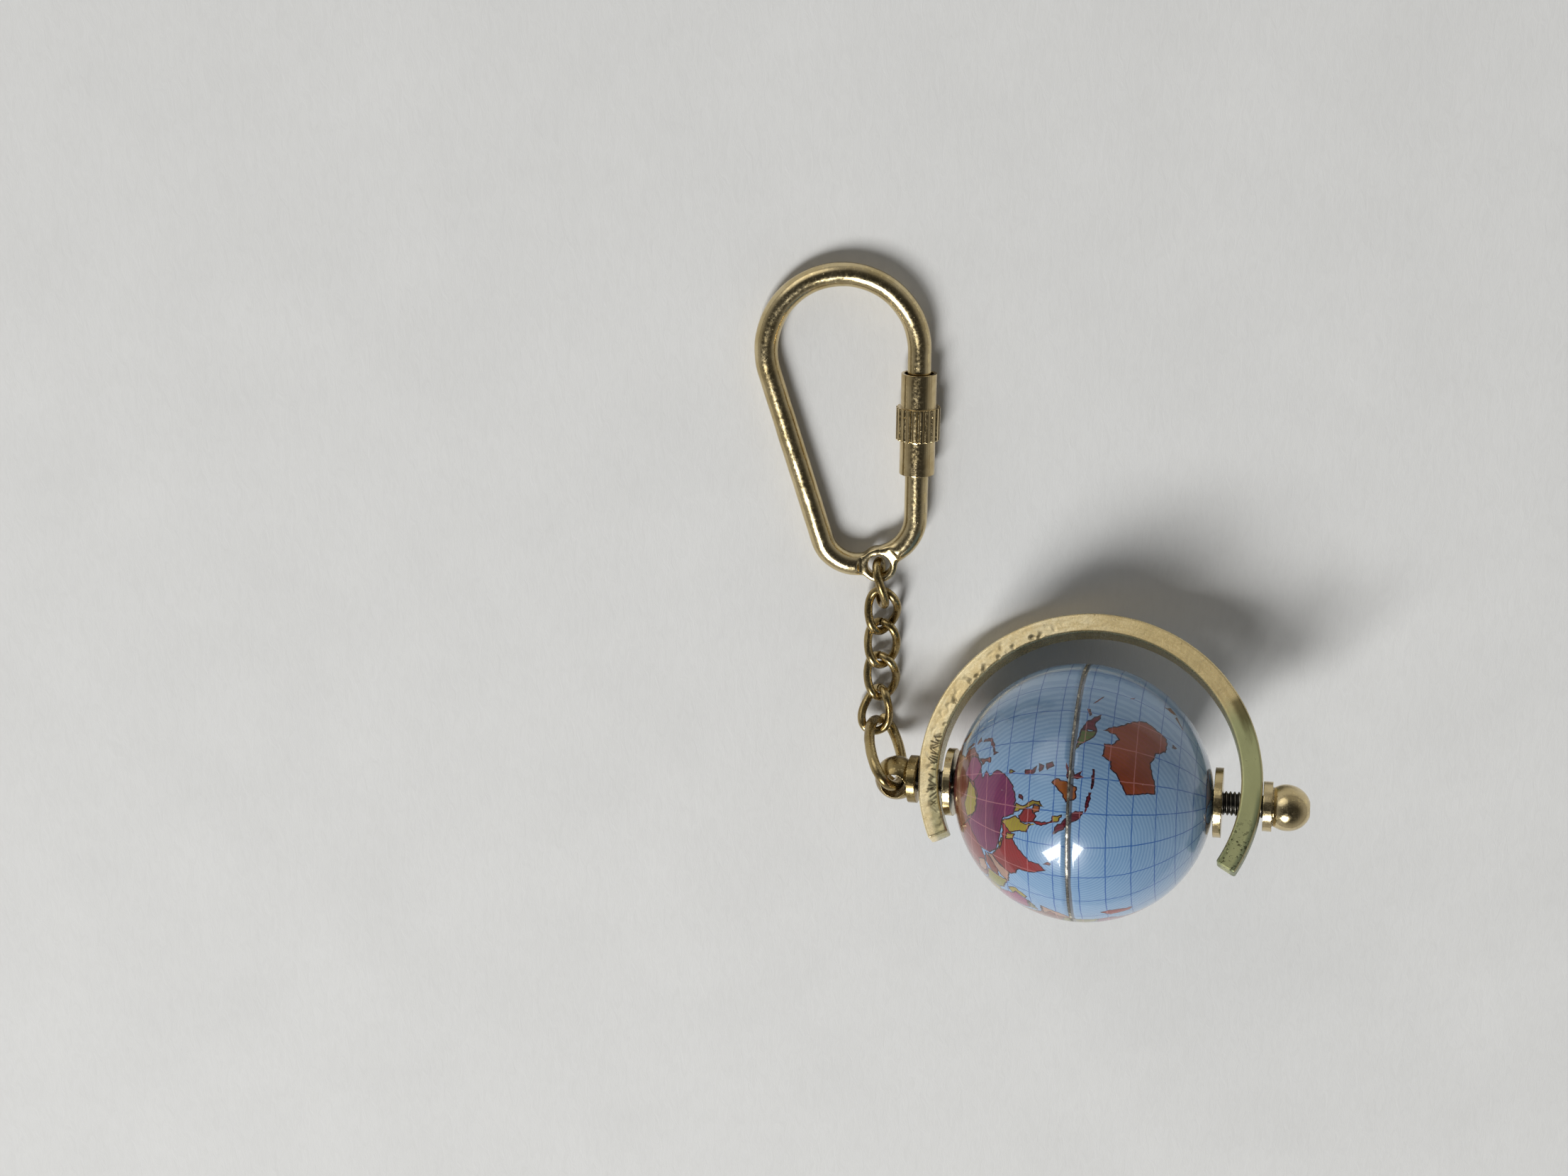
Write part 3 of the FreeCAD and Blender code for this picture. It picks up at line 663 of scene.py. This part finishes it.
def make_axle():
    """Stud with a rolled M3 thread: one crest that winds along it."""
    first = -22.0 * MM
    last = 23.2 * MM
    crest = 1.49 * MM
    depth = 0.3 * MM
    pitch = 0.5 * MM
    around = 40
    row_height = 0.05 * MM
    rows = int((last - first) / row_height)
    bm = bmesh.new()
    rings = []
    for row in range(rows + 1):
        height = first + (last - first) * row / rows
        ring = []
        for column in range(around):
            angle = 2 * math.pi * column / around
            phase = (height / pitch - column / around) % 1.0
            flank = min(1.0, max(0.0, 1.35 * (1.0 - abs(2.0 * phase - 1.0)) - 0.15))
            radius = crest - depth * (1.0 - flank)
            ring.append(bm.verts.new((radius * math.cos(angle), radius * math.sin(angle), height)))
        rings.append(ring)
    for lower, upper in zip(rings, rings[1:]):
        for column in range(around):
            after = (column + 1) % around
            bm.faces.new((lower[column], lower[after], upper[after], upper[column]))
    bm.faces.new(list(reversed(rings[0])))
    bm.faces.new(rings[-1])
    bm.transform(AXLE_FRAME)
    mesh = bpy.data.meshes.new("threaded_stud")
    bm.to_mesh(mesh)
    bm.free()
    show("threaded_stud", mesh, [STEEL], "globe_frame", "axle_steel", "axle")


def make_brass_pieces():
    """Carabiner, sleeve, chain and everything of brass or steel round the globe."""
    make_arc()
    make_axle()
    for side in ("north", "south"):
        # The north ball nut sits by the chain, so it takes the darker brass as painted shade.
        metal = SHADED_CHAIN_BRASS if side == "north" else BRASS
        refined_brass(f"{side}_ball_nut", "globe_frame", "brass", metal, 0.07, 3, (1.6, 0.03))
        refined_brass(f"{side}_disc_nut", "globe_frame", "brass", BRASS, 0.07, 2, (2.0, 0.02))
    make_carabiner()
    refined_brass("lock_sleeve", "lock_sleeve", "brass", SLEEVE_BRASS, 0.06, 2, (2.0, 0.012))
    refined_brass("ball_link", "ball_link", "chain_brass", SHADED_CHAIN_BRASS, 0.06, 2, (1.4, 0.03))
    for number in range(1, 6):
        refined_brass(
            f"chain_link_{number}", f"link_{number}", "chain_brass", SHADED_CHAIN_BRASS, 0.06, 2, (1.1, 0.025))


# ---------------------------------------------------------------- printed map
INKS = {
    "sea": (0.2, 0.4, 0.6),
    "outline": srgb(46, 12, 24),
    "brown_orange": srgb(176, 84, 36),
    "maroon": srgb(118, 22, 46),
    "purple": srgb(140, 30, 106),
    "pink": srgb(176, 72, 132),
    "yellow": srgb(196, 182, 56),
    "red": srgb(176, 42, 40),
    "rose": srgb(168, 66, 62),
    "russet": srgb(152, 78, 56),
    "sand": srgb(214, 176, 150),
    "lime": srgb(168, 172, 66),
    "orange": srgb(206, 122, 44),
    "green": srgb(110, 142, 66),
    "ice": srgb(196, 206, 214),
}

# Outlines as longitude and latitude in degrees, in the order of painting: later ones lie on top.
LANDS = (
    ("russet", (28, 71, 41, 67, 44, 66, 54, 68, 68, 69, 75, 73, 88, 75, 104, 78, 113, 74, 128, 72,
                152, 71, 170, 69, 182, 68, 190, 66, 178, 62, 170, 60, 163, 59, 160, 52, 156, 52,
                156, 58, 163, 62, 155, 59, 143, 59, 136, 54, 141, 52, 140, 47, 132, 43, 126, 42,
                110, 42, 90, 42, 70, 38, 55, 36, 48, 38, 40, 43, 36, 46, 29, 46, 24, 54, 28, 60)),
    ("russet", (142, 54, 144, 49, 142, 46, 141, 50)),
    ("rose", (50, 48, 62, 54, 76, 54, 87, 49, 82, 45, 76, 40, 68, 37, 58, 38, 53, 42)),
    ("sand", (53, 42, 62, 42, 67, 38, 61, 36, 54, 38)),
    ("purple", (74, 40, 80, 45, 87, 49, 97, 43, 107, 42, 117, 46, 125, 50, 133, 48, 131, 43, 125, 40,
                121, 40, 118, 39, 122, 37, 119, 35, 122, 31, 120, 27, 115, 23, 108, 21, 101, 22, 98, 27,
                90, 28, 80, 30, 75, 34)),
    ("pink", (117, 49, 121, 53, 126, 51, 134, 48, 131, 43, 124, 40, 119, 42, 115, 45)),
    ("yellow", (88, 49, 98, 52, 107, 50, 117, 49, 112, 44, 105, 42, 96, 43)),
    ("russet", (125, 40, 130, 42, 129, 38, 129, 35, 126, 35, 127, 38)),
    ("lime", (120, 25, 122, 25, 121, 22)),
    ("maroon", (109, 20, 111, 20, 110, 18, 108, 18)),
    ("maroon", (130, 34, 134, 34.5, 139, 37, 140, 41, 142, 40, 141, 36, 137, 34, 132, 33, 131, 31)),
    ("maroon", (140, 45, 142, 45, 145, 43, 141, 41.5)),
    ("red", (68, 24, 71, 29, 75, 33, 79, 31, 85, 28, 92, 27, 97, 28, 94, 23, 89, 22, 86, 20, 80, 15,
             80, 11, 77, 8, 74, 14, 73, 20, 70, 21)),
    ("sand", (61, 25, 63, 29, 70, 33, 74, 36, 75, 33, 71, 29, 69, 24)),
    ("russet", (61, 34, 66, 37, 74, 37, 70, 33, 66, 30, 61, 30)),
    ("yellow", (80, 30, 88, 28, 88, 26.5, 81, 28.5)),
    ("yellow", (88, 26, 92, 25, 92, 21, 89, 22)),
    ("yellow", (92, 24, 97, 28, 99, 24, 101, 21, 98, 17, 99, 12, 97, 15, 94, 16, 94, 19)),
    ("red", (98, 19, 101, 20, 105, 17, 105, 14, 102, 12, 100, 13, 100, 8, 103, 3, 100, 6, 98, 10,
             99, 14)),
    ("orange", (103, 14, 107, 14, 107, 11, 104, 11)),
    ("yellow", (102, 22, 107, 21, 106, 18, 109, 14, 109, 11, 107, 10, 106, 9, 107, 13, 104, 18)),
    ("yellow", (100, 6, 103, 6, 104, 2, 101, 3)),
    ("red", (79.9, 9.5, 81.8, 7.5, 81, 6, 80, 6.5)),
    ("lime", (45, 39, 49, 37, 54, 37, 61, 36, 61, 30, 62, 25, 57, 27, 52, 28, 48, 31, 46, 35)),
    ("pink", (35, 29, 39, 32, 44, 31, 48, 29, 51, 25, 55, 22, 51, 17, 44, 17, 42, 17, 39, 21)),
    ("yellow", (51, 24, 56, 26, 59, 22, 55, 17, 52, 18, 55, 22)),
    ("green", (43, 17, 52, 17, 48, 14, 43, 13)),
    ("yellow", (39, 32, 42, 37, 46, 36, 48, 30, 44, 30)),
    ("rose", (27, 41, 36, 42, 44, 40, 44, 37, 36, 36, 28, 37)),
    ("brown_orange", (35, 36, 42, 37, 39, 33, 35, 31)),
    ("maroon", (95, 5.5, 98, 5, 101, 2, 104, -1, 106, -3, 106, -6, 103, -5, 100, -1, 97, 2)),
    ("maroon", (105, -6.5, 110, -6.6, 114, -7.5, 114, -8.8, 108, -8)),
    ("maroon", (115, -8.5, 124, -8.3, 124, -9.3, 116, -9.2)),
    ("orange", (109, 1, 113, 3, 117, 7, 119, 5, 118, 1, 116, -3, 111, -3, 110, -1)),
    ("maroon", (119, 1, 125, 1.5, 121, 0, 123, -1, 121, -2, 123, -5, 121, -4, 120, -5.5, 119, -3)),
    ("maroon", (120, 18, 122, 18, 122, 15, 124, 13, 121, 13.5, 120, 15)),
    ("maroon", (122, 9, 125, 9.5, 126, 7, 124, 6)),
    ("maroon", (121, 12, 125, 12.5, 124, 10, 122, 10.5)),
    ("green", (131, -1, 134, -1.5, 137, -2, 141, -2.6, 141, -9, 138, -8, 135, -4.5)),
    ("maroon", (141, -2.6, 146, -5, 150, -10, 147, -9.5, 144, -8, 141, -9)),
    ("maroon", (148, -5.5, 152, -4, 152, -5.5, 149, -6.3)),
    ("maroon", (155, -6, 159, -8.5, 161, -10, 157, -8)),
    ("brown_orange", (114, -22, 117, -20.5, 122, -18, 125, -15, 128, -15, 130, -11.5, 133, -12,
                      136, -12, 136, -15, 139, -17.5, 141, -16, 142, -11, 145, -15, 147, -19, 151, -23,
                      153.5, -28, 151, -34, 149, -38, 145, -38.5, 140, -38, 137, -33.5, 134, -33,
                      131, -31.5, 126, -32.5, 121, -34, 115.5, -34.5, 115, -30)),
    ("maroon", (145, -40.8, 148, -41, 147, -43.5, 145.5, -42.5)),
    ("maroon", (166, -46, 171, -43, 174, -41.5, 171, -40.7, 168, -43.5)),
    ("maroon", (173, -34.5, 176, -37, 178, -38, 175, -41.5, 173, -39)),
    ("maroon", (164, -20, 167, -22.2, 165.5, -21.8)),
    ("yellow", (-17, 15, -16, 21, -9, 27, -2, 36, 10, 37, 20, 31, 32, 31, 34, 28, 37, 21, 43, 12, 36, 4,
                20, 3, 9, 4, 5, 6, -8, 4.5, -13, 9)),
    ("rose", (-9, 28, -2, 36, 9, 37, 11, 31, 8, 20, 3, 19, -5, 25)),
    ("lime", (11, 32, 20, 30, 25, 32, 25, 21, 22, 19, 14, 23)),
    ("orange", (25, 31, 34, 31, 36, 22, 25, 22)),
    ("russet", (25, 22, 37, 21, 39, 15, 43, 12, 51, 12, 47, 4, 41, -2, 34, 4, 24, 9, 23, 16)),
    ("sand", (41, 11, 51, 12, 47, 4, 42, -1, 42, 5, 46, 8)),
    ("pink", (-17, 15, -11, 15, -8, 12, -8, 5, -13, 9)),
    ("green", (3, 12, 13, 12, 9, 4, 3, 6)),
    ("maroon", (9, 4, 18, 4, 26, 5, 31, 3, 29, -8, 24, -11, 13, -6, 9, -1)),
    ("lime", (31, 4, 41, 3, 40, -8, 40, -11, 33, -9, 29, -4)),
    ("orange", (13, -6, 24, -11, 24, -17, 12, -17)),
    ("purple", (24, -11, 33, -9, 40, -11, 40, -16, 35, -21, 33, -26, 28, -19, 22, -18)),
    ("yellow", (12, -17, 25, -17, 29, -21, 27, -25, 20, -28, 16, -28)),
    ("brown_orange", (16, -28, 20, -28, 26, -25, 31, -22, 33, -26, 32, -29, 27, -34, 20, -35, 18, -33)),
    ("red", (44, -16, 49, -12, 50, -16, 47, -25, 44, -24)),
    ("lime", (-9, 43, -2, 44, 3, 42, -1, 38, -5, 36, -9, 37)),
    ("pink", (-5, 48, 2, 51, 8, 49, 7, 44, 3, 43, -1, 44)),
    ("orange", (5, 52, 9, 54, 14, 54, 14, 48, 8, 47)),
    ("yellow", (14, 54, 24, 54, 28, 51, 28, 46, 14, 48)),
    ("maroon", (8, 44, 13, 46, 14, 42, 18, 40, 16, 38, 11, 42)),
    ("purple", (14, 46, 28, 45, 28, 42, 23, 40, 22, 37, 20, 40, 15, 44)),
    ("red", (-5, 50, 1, 51, 0, 53, -3, 58, -6, 58, -4, 54)),
    ("green", (-10, 52, -6, 52, -6, 55, -9, 54)),
    ("rose", (5, 59, 5, 62, 14, 68, 25, 71, 30, 69, 25, 66, 18, 62, 18, 58, 13, 56, 10, 59)),
    ("lime", (22, 60, 30, 61, 31, 65, 28, 69, 22, 66)),
    ("ice", (-22, 64, -14, 65, -16, 66.5, -23, 66)),
    ("ice", (-55, 60, -43, 60, -22, 70, -18, 78, -30, 83, -60, 82, -70, 77, -54, 70)),
    ("pink", (-168, 66, -156, 71, -130, 70, -95, 73, -82, 70, -86, 66, -94, 60, -80, 53, -78, 60,
              -68, 60, -56, 53, -66, 49, -64, 45, -83, 45, -95, 49, -123, 49, -132, 57, -145, 60,
              -158, 56, -165, 61)),
    ("pink", (-90, 75, -70, 73, -62, 66, -70, 63, -80, 70)),
    ("pink", (-95, 78, -70, 83, -78, 76)),
    ("orange", (-168, 66, -156, 71, -141, 70, -141, 60, -152, 58, -163, 55, -158, 59, -165, 61)),
    ("lime", (-124, 48, -95, 49, -83, 45, -67, 45, -76, 36, -81, 31, -80, 25, -83, 30, -97, 27,
              -106, 31, -117, 33, -123, 38)),
    ("brown_orange", (-117, 33, -106, 31, -97, 27, -97, 20, -90, 21, -88, 18, -94, 16, -105, 20,
                      -110, 27)),
    ("purple", (-92, 17, -83, 15, -83, 10, -78, 9, -86, 11)),
    ("red", (-85, 22, -75, 20, -79, 22.5)),
    ("green", (-74, 20, -68, 19, -72, 18)),
    ("yellow", (-79, 8, -72, 12, -62, 10, -68, 2, -79, 1)),
    ("russet", (-68, 12, -60, 9, -52, 5, -60, 2, -67, 2)),
    ("green", (-68, 2, -50, 4, -44, -3, -35, -6, -39, -16, -42, -23, -49, -28, -53, -33, -58, -30,
               -58, -20, -65, -10, -73, -9)),
    ("maroon", (-81, -5, -79, 1, -70, -2, -73, -9, -69, -17, -76, -14)),
    ("pink", (-69, -10, -58, -17, -62, -22, -69, -22)),
    ("red", (-71, -18, -68, -23, -71, -40, -72, -52, -75, -50, -73, -37)),
    ("orange", (-68, -23, -58, -24, -54, -27, -58, -34, -62, -40, -66, -45, -69, -52, -72, -50,
                -70, -35)),
    ("ice", tuple(
        value for step in range(24) for value in (-180 + step * 15, -70 - 4 * math.sin(step * 1.3)))),
)


def roughened_outline(numbers, seed):
    """Outline as longitude and latitude pairs, with a jagged coast drawn between its points."""
    draw = random.Random(seed)
    corners = list(zip(numbers[0::2], numbers[1::2]))
    points = []
    for (lon, lat), (next_lon, next_lat) in zip(corners, corners[1:] + corners[:1]):
        if next_lon - lon > 180:
            next_lon -= 360
        shrink = max(0.2, math.cos(math.radians((lat + next_lat) / 2)))
        run = math.hypot((next_lon - lon) * shrink, next_lat - lat)
        pieces = max(1, round(run / COAST_STEP))
        for piece in range(pieces):
            share = piece / pieces
            jag = 0.0 if piece == 0 else COAST_JAG
            points.append((
                lon + (next_lon - lon) * share + draw.uniform(-jag, jag) / shrink,
                lat + (next_lat - lat) * share + draw.uniform(-jag, jag),
            ))
    return points


def polar(lon, lat, sign):
    """Place in the flat polar chart of one hemisphere: its radius is the angle from the pole."""
    angle = math.radians(lon)
    reach = 90.0 - sign * lat
    return Vector((reach * math.cos(angle), reach * math.sin(angle)))


def anticlockwise(points):
    """The same polygon, listed so that it turns to the left."""
    area = sum(a.x * b.y - b.x * a.y for a, b in zip(points, points[1:] + points[:1]))
    return points if area > 0 else points[::-1]


def inset(points, width):
    """Anticlockwise polygon moved inward by a width, square to each corner's mean direction."""
    moved = []
    for before, here, after in zip(points[-1:] + points[:-1], points, points[1:] + points[:1]):
        into = (here - before).normalized()
        out = (after - here).normalized()
        left = Vector((-into.y, into.x))
        normal = Vector((-(into.y + out.y), into.x + out.x))
        if normal.length < 1e-6:
            normal = left
        normal.normalize()
        sharp = max(0.45, normal.dot(left))
        moved.append(here + normal * (width / sharp))
    return moved


def chart_points(first, last):
    """Even net of points over the polar chart between two radii."""
    points = []
    rings = round((last - first) / NET_RING_STEP)
    for ring in range(1, rings):
        reach = first + (last - first) * ring / rings
        count = max(12, round(360.0 * math.sin(math.radians(reach)) / NET_POINT_STEP))
        for step in range(count):
            angle = 2 * math.pi * (step + 0.5 * (ring % 2)) / count
            points.append(Vector((reach * math.cos(angle), reach * math.sin(angle))))
    return points


def circle_points(reach, count):
    """Even ring of points about the pole."""
    angles = [2 * math.pi * step / count for step in range(count)]
    return [Vector((reach * math.cos(angle), reach * math.sin(angle))) for angle in angles]


def inside(places, outline):
    """Which of many places lie inside a polygon, by counting the sides to their right."""
    across, up = places[:, 0], places[:, 1]
    within = np.zeros(len(places), bool)
    for a, b in zip(outline, outline[1:] + outline[:1]):
        if a.y != b.y:
            spans = (a.y > up) != (b.y > up)
            within ^= spans & (across < (b.x - a.x) * (up - a.y) / (b.y - a.y) + a.x)
    return within


def on_sphere(point, sign):
    """Place on the globe of a point of the polar chart."""
    reach = math.radians(point.length)
    angle = math.atan2(point.y, point.x)
    return GLOBE_RADIUS * Vector((
        math.sin(reach) * math.cos(angle),
        math.sin(reach) * math.sin(angle),
        sign * math.cos(reach),
    ))


def land_outlines(sign):
    """Dark border and painted field of every land on one half, each with the name of its ink."""
    outlines, inks = [], []
    for number, (ink, numbers) in enumerate(LANDS):
        coast = roughened_outline(numbers, number)
        flat = anticlockwise([polar(lon, lat * LATITUDE_STRETCH, sign) for lon, lat in coast])
        if min(point.length for point in flat) <= CHART_REACH:
            outlines += [flat, inset(flat, BORDER_WIDTH)]
            inks += ["outline", ink]
    return outlines, inks


def divided_chart(hole_angle, seam_angle, outlines):
    """Points and triangles of the polar chart, with an edge along the whole of every outline."""
    points = chart_points(hole_angle, seam_angle)
    edges = []
    for ring in [circle_points(hole_angle, 48), circle_points(seam_angle, 240)] + outlines:
        first = len(points)
        edges += [(first + step, first + (step + 1) % len(ring)) for step in range(len(ring))]
        points += ring
    net = geometry.delaunay_2d_cdt(points, edges, [], 0, 1e-5, False)
    return net[0], net[2]


def with_wall(mesh):
    """Sheet turned into a shell whose outer face stays in place."""
    holder = bpy.data.objects.new("holder", mesh)
    bpy.context.scene.collection.objects.link(holder)
    for material in (PRINT, TIN):
        mesh.materials.append(material)
    wall = holder.modifiers.new("wall", "SOLIDIFY")
    wall.thickness = SHELL
    wall.offset = -1.0
    wall.material_offset = 1
    wall.material_offset_rim = 1
    walled = evaluated(holder)
    bpy.data.objects.remove(holder)
    walled.materials.clear()
    return walled


def make_hemisphere(pole, sign):
    """Half shell whose outer face is divided along every coast and border of the print."""
    hole_angle = math.degrees(math.asin(POLE_HOLE / GLOBE_RADIUS))
    seam_angle = 90.0 - math.degrees(SEAM_HALF / GLOBE_RADIUS)
    outlines, inks = land_outlines(sign)
    points, triangles = divided_chart(hole_angle, seam_angle, outlines)
    middles = np.array([sum((points[i] for i in t), Vector((0, 0))) / 3 for t in triangles])
    top_outline = np.full(len(triangles), -1)
    for number, outline in enumerate(outlines):
        top_outline[inside(middles, outline)] = number
    reach = np.hypot(middles[:, 0], middles[:, 1])
    kept = (reach > hole_angle) & (reach < seam_angle)
    bm = bmesh.new()
    verts = [bm.verts.new(on_sphere(point, sign)) for point in points]
    painted = []
    for triangle, number, keep in zip(triangles, top_outline, kept):
        if keep:
            corners = [verts[index] for index in triangle]
            bm.faces.new(corners if sign > 0 else corners[::-1])
            painted.append("sea" if number < 0 else inks[number])
    bmesh.ops.delete(bm, geom=[v for v in bm.verts if not v.link_faces], context="VERTS")
    mesh = bpy.data.meshes.new(f"{pole}_print")
    bm.transform(MAP_FRAME)
    bm.to_mesh(mesh)
    bm.free()
    ink = mesh.color_attributes.new("ink", "FLOAT_COLOR", "CORNER")
    sea = mesh.attributes.new("sea", "FLOAT", "FACE")
    for polygon, name in zip(mesh.polygons, painted):
        sea.data[polygon.index].value = 1.0 if name == "sea" else 0.0
        for corner in polygon.loop_indices:
            ink.data[corner].color = (*deeper(INKS[name]), 1.0)
    show(f"{pole}_print", with_wall(mesh), [PRINT, TIN], "globe", f"map_{pole}", f"{pole}_hemisphere")


def make_seam():
    """Joining ring between the shells: a wide band inside and an uneven rubbed bead outside."""
    around = 360
    bead = [(-1.0, 0.10), (-0.7, 0.02), (-0.2, 0.0), (0.3, 0.0), (0.75, 0.03), (1.0, 0.14)]
    inner = [(2.0, 0.75), (2.0, 1.5), (-2.0, 1.5), (-2.0, 0.75)]
    bm = bmesh.new()
    rings = []
    for step in range(around):
        angle = 2 * math.pi * step / around
        direction = Vector((math.cos(angle), math.sin(angle), 0.0))
        wobble = noise.noise(direction * 9.0)
        wide = (0.25 + 0.08 * wobble) * MM
        ring = []
        for share, drop in bead:
            sunk = drop + 0.025 * (1 + noise.noise(direction * 40.0 + Vector((0, 0, share))))
            place = direction * (GLOBE_RADIUS - sunk * MM)
            place.z = share * wide + 0.03 * MM * noise.noise(direction * 16.0)
            ring.append(bm.verts.new(place))
        for height, drop in ((0.17, 0.5), *inner, (-0.17, 0.5)):
            place = direction * (GLOBE_RADIUS - (drop + 0.02) * MM)
            place.z = height * MM
            ring.append(bm.verts.new(place))
        rings.append(ring)
    count = len(rings[0])
    for here, after in zip(rings, rings[1:] + rings[:1]):
        for side in range(count):
            upper = (side + 1) % count
            bm.faces.new((here[side], after[side], after[upper], here[upper]))
    bmesh.ops.recalc_face_normals(bm, faces=bm.faces)
    bm.transform(MAP_FRAME)
    mesh = bpy.data.meshes.new("seam_bead")
    bm.to_mesh(mesh)
    bm.free()
    show("seam_bead", mesh, [SEAM], "globe", "seam_grey", "joining_ring")


make_brass_pieces()
make_hemisphere("north", 1)
make_hemisphere("south", -1)
make_seam()


# ---------------------------------------------------------------- stage, light and camera
def make_floor():
    """Board under the key ring."""
    half = 1.5
    bm = bmesh.new()
    corners = ((-half, -half), (half, -half), (half, half), (-half, half))
    bm.faces.new([bm.verts.new((x, y, 0.0)) for x, y in corners])
    mesh = bpy.data.meshes.new("board")
    bm.to_mesh(mesh)
    bm.free()
    mesh.materials.append(floor_material())
    board = bpy.data.objects.new("board", mesh)
    bpy.context.scene.collection.objects.link(board)


def make_world():
    """Room: bright near the horizon, dim overhead, with a glow to one side."""
    room_strength, glow_strength = 0.40, 1.5
    glow_direction = Vector((-0.52, 0.72, 0.46)).normalized()
    stops = ((0.0, 0.75), (0.2, 1.0), (0.5, 0.6), (0.72, 0.17), (1.0, 0.07))
    world = bpy.data.worlds.new("room")
    bpy.context.scene.world = world
    world.use_nodes = True
    tree = world.node_tree
    background = tree.nodes["Background"]
    place = tree.nodes.new("ShaderNodeTexCoord")
    axes = tree.nodes.new("ShaderNodeSeparateXYZ")
    ramp = tree.nodes.new("ShaderNodeValToRGB")
    tree.links.new(place.outputs["Generated"], axes.inputs[0])
    tree.links.new(axes.outputs["Z"], ramp.inputs["Fac"])
    tree.links.new(ramp.outputs["Color"], background.inputs["Color"])
    patch = tree.nodes.new("ShaderNodeVectorMath")
    patch.operation = "DOT_PRODUCT"
    patch.inputs[1].default_value = glow_direction
    glow = tree.nodes.new("ShaderNodeMapRange")
    glow.interpolation_type = "SMOOTHSTEP"
    glow.inputs["From Min"].default_value = 0.90
    glow.inputs["From Max"].default_value = 0.985
    glow.inputs["To Max"].default_value = glow_strength
    tree.links.new(place.outputs["Generated"], patch.inputs[0])
    tree.links.new(patch.outputs["Value"], glow.inputs["Value"])
    total = tree.nodes.new("ShaderNodeMath")
    total.operation = "ADD"
    total.inputs[1].default_value = room_strength
    tree.links.new(glow.outputs["Result"], total.inputs[0])
    tree.links.new(total.outputs["Value"], background.inputs["Strength"])
    while len(ramp.color_ramp.elements) < len(stops):
        ramp.color_ramp.elements.new(0.5)
    for element, (place_on, level) in zip(ramp.color_ramp.elements, stops):
        element.position = place_on
        element.color = (level, level * 0.985, level * 0.96, 1.0)


def make_window(name, direction, width, height, power):
    """Soft window that faces the globe from a direction."""
    distance = 2.2
    lamp = bpy.data.lights.new(name, "AREA")
    lamp.shape = "RECTANGLE"
    lamp.size = width
    lamp.size_y = height
    lamp.energy = power
    holder = bpy.data.objects.new(name, lamp)
    bpy.context.scene.collection.objects.link(holder)
    aim = Vector(direction).normalized()
    holder.location = GLOBE_CENTRE + aim * distance
    holder.rotation_euler = aim.to_track_quat("Z", "Y").to_euler()


def make_camera():
    """Camera that sees the key ring as the photograph does."""
    camera = bpy.data.objects.new("camera", bpy.data.cameras.new("camera"))
    bpy.context.scene.collection.objects.link(camera)
    camera.data.lens = CAMERA_LENS_MM
    camera.data.sensor_width = SENSOR_WIDTH_MM
    camera.location = CAMERA_PLACE
    camera.rotation_euler = (math.radians(CAMERA_TILT_DEG), 0.0, 0.0)
    camera.data.clip_start = 0.005
    bpy.context.scene.camera = camera


bpy.context.scene.view_settings.view_transform = "Standard"
make_floor()
make_world()
make_window("window_left", (-0.43, -0.50, 0.75), 0.36, 0.88, 20.5)
make_window("window_right", (-0.25, -0.54, 0.80), 0.36, 0.96, 22.0)
make_camera()
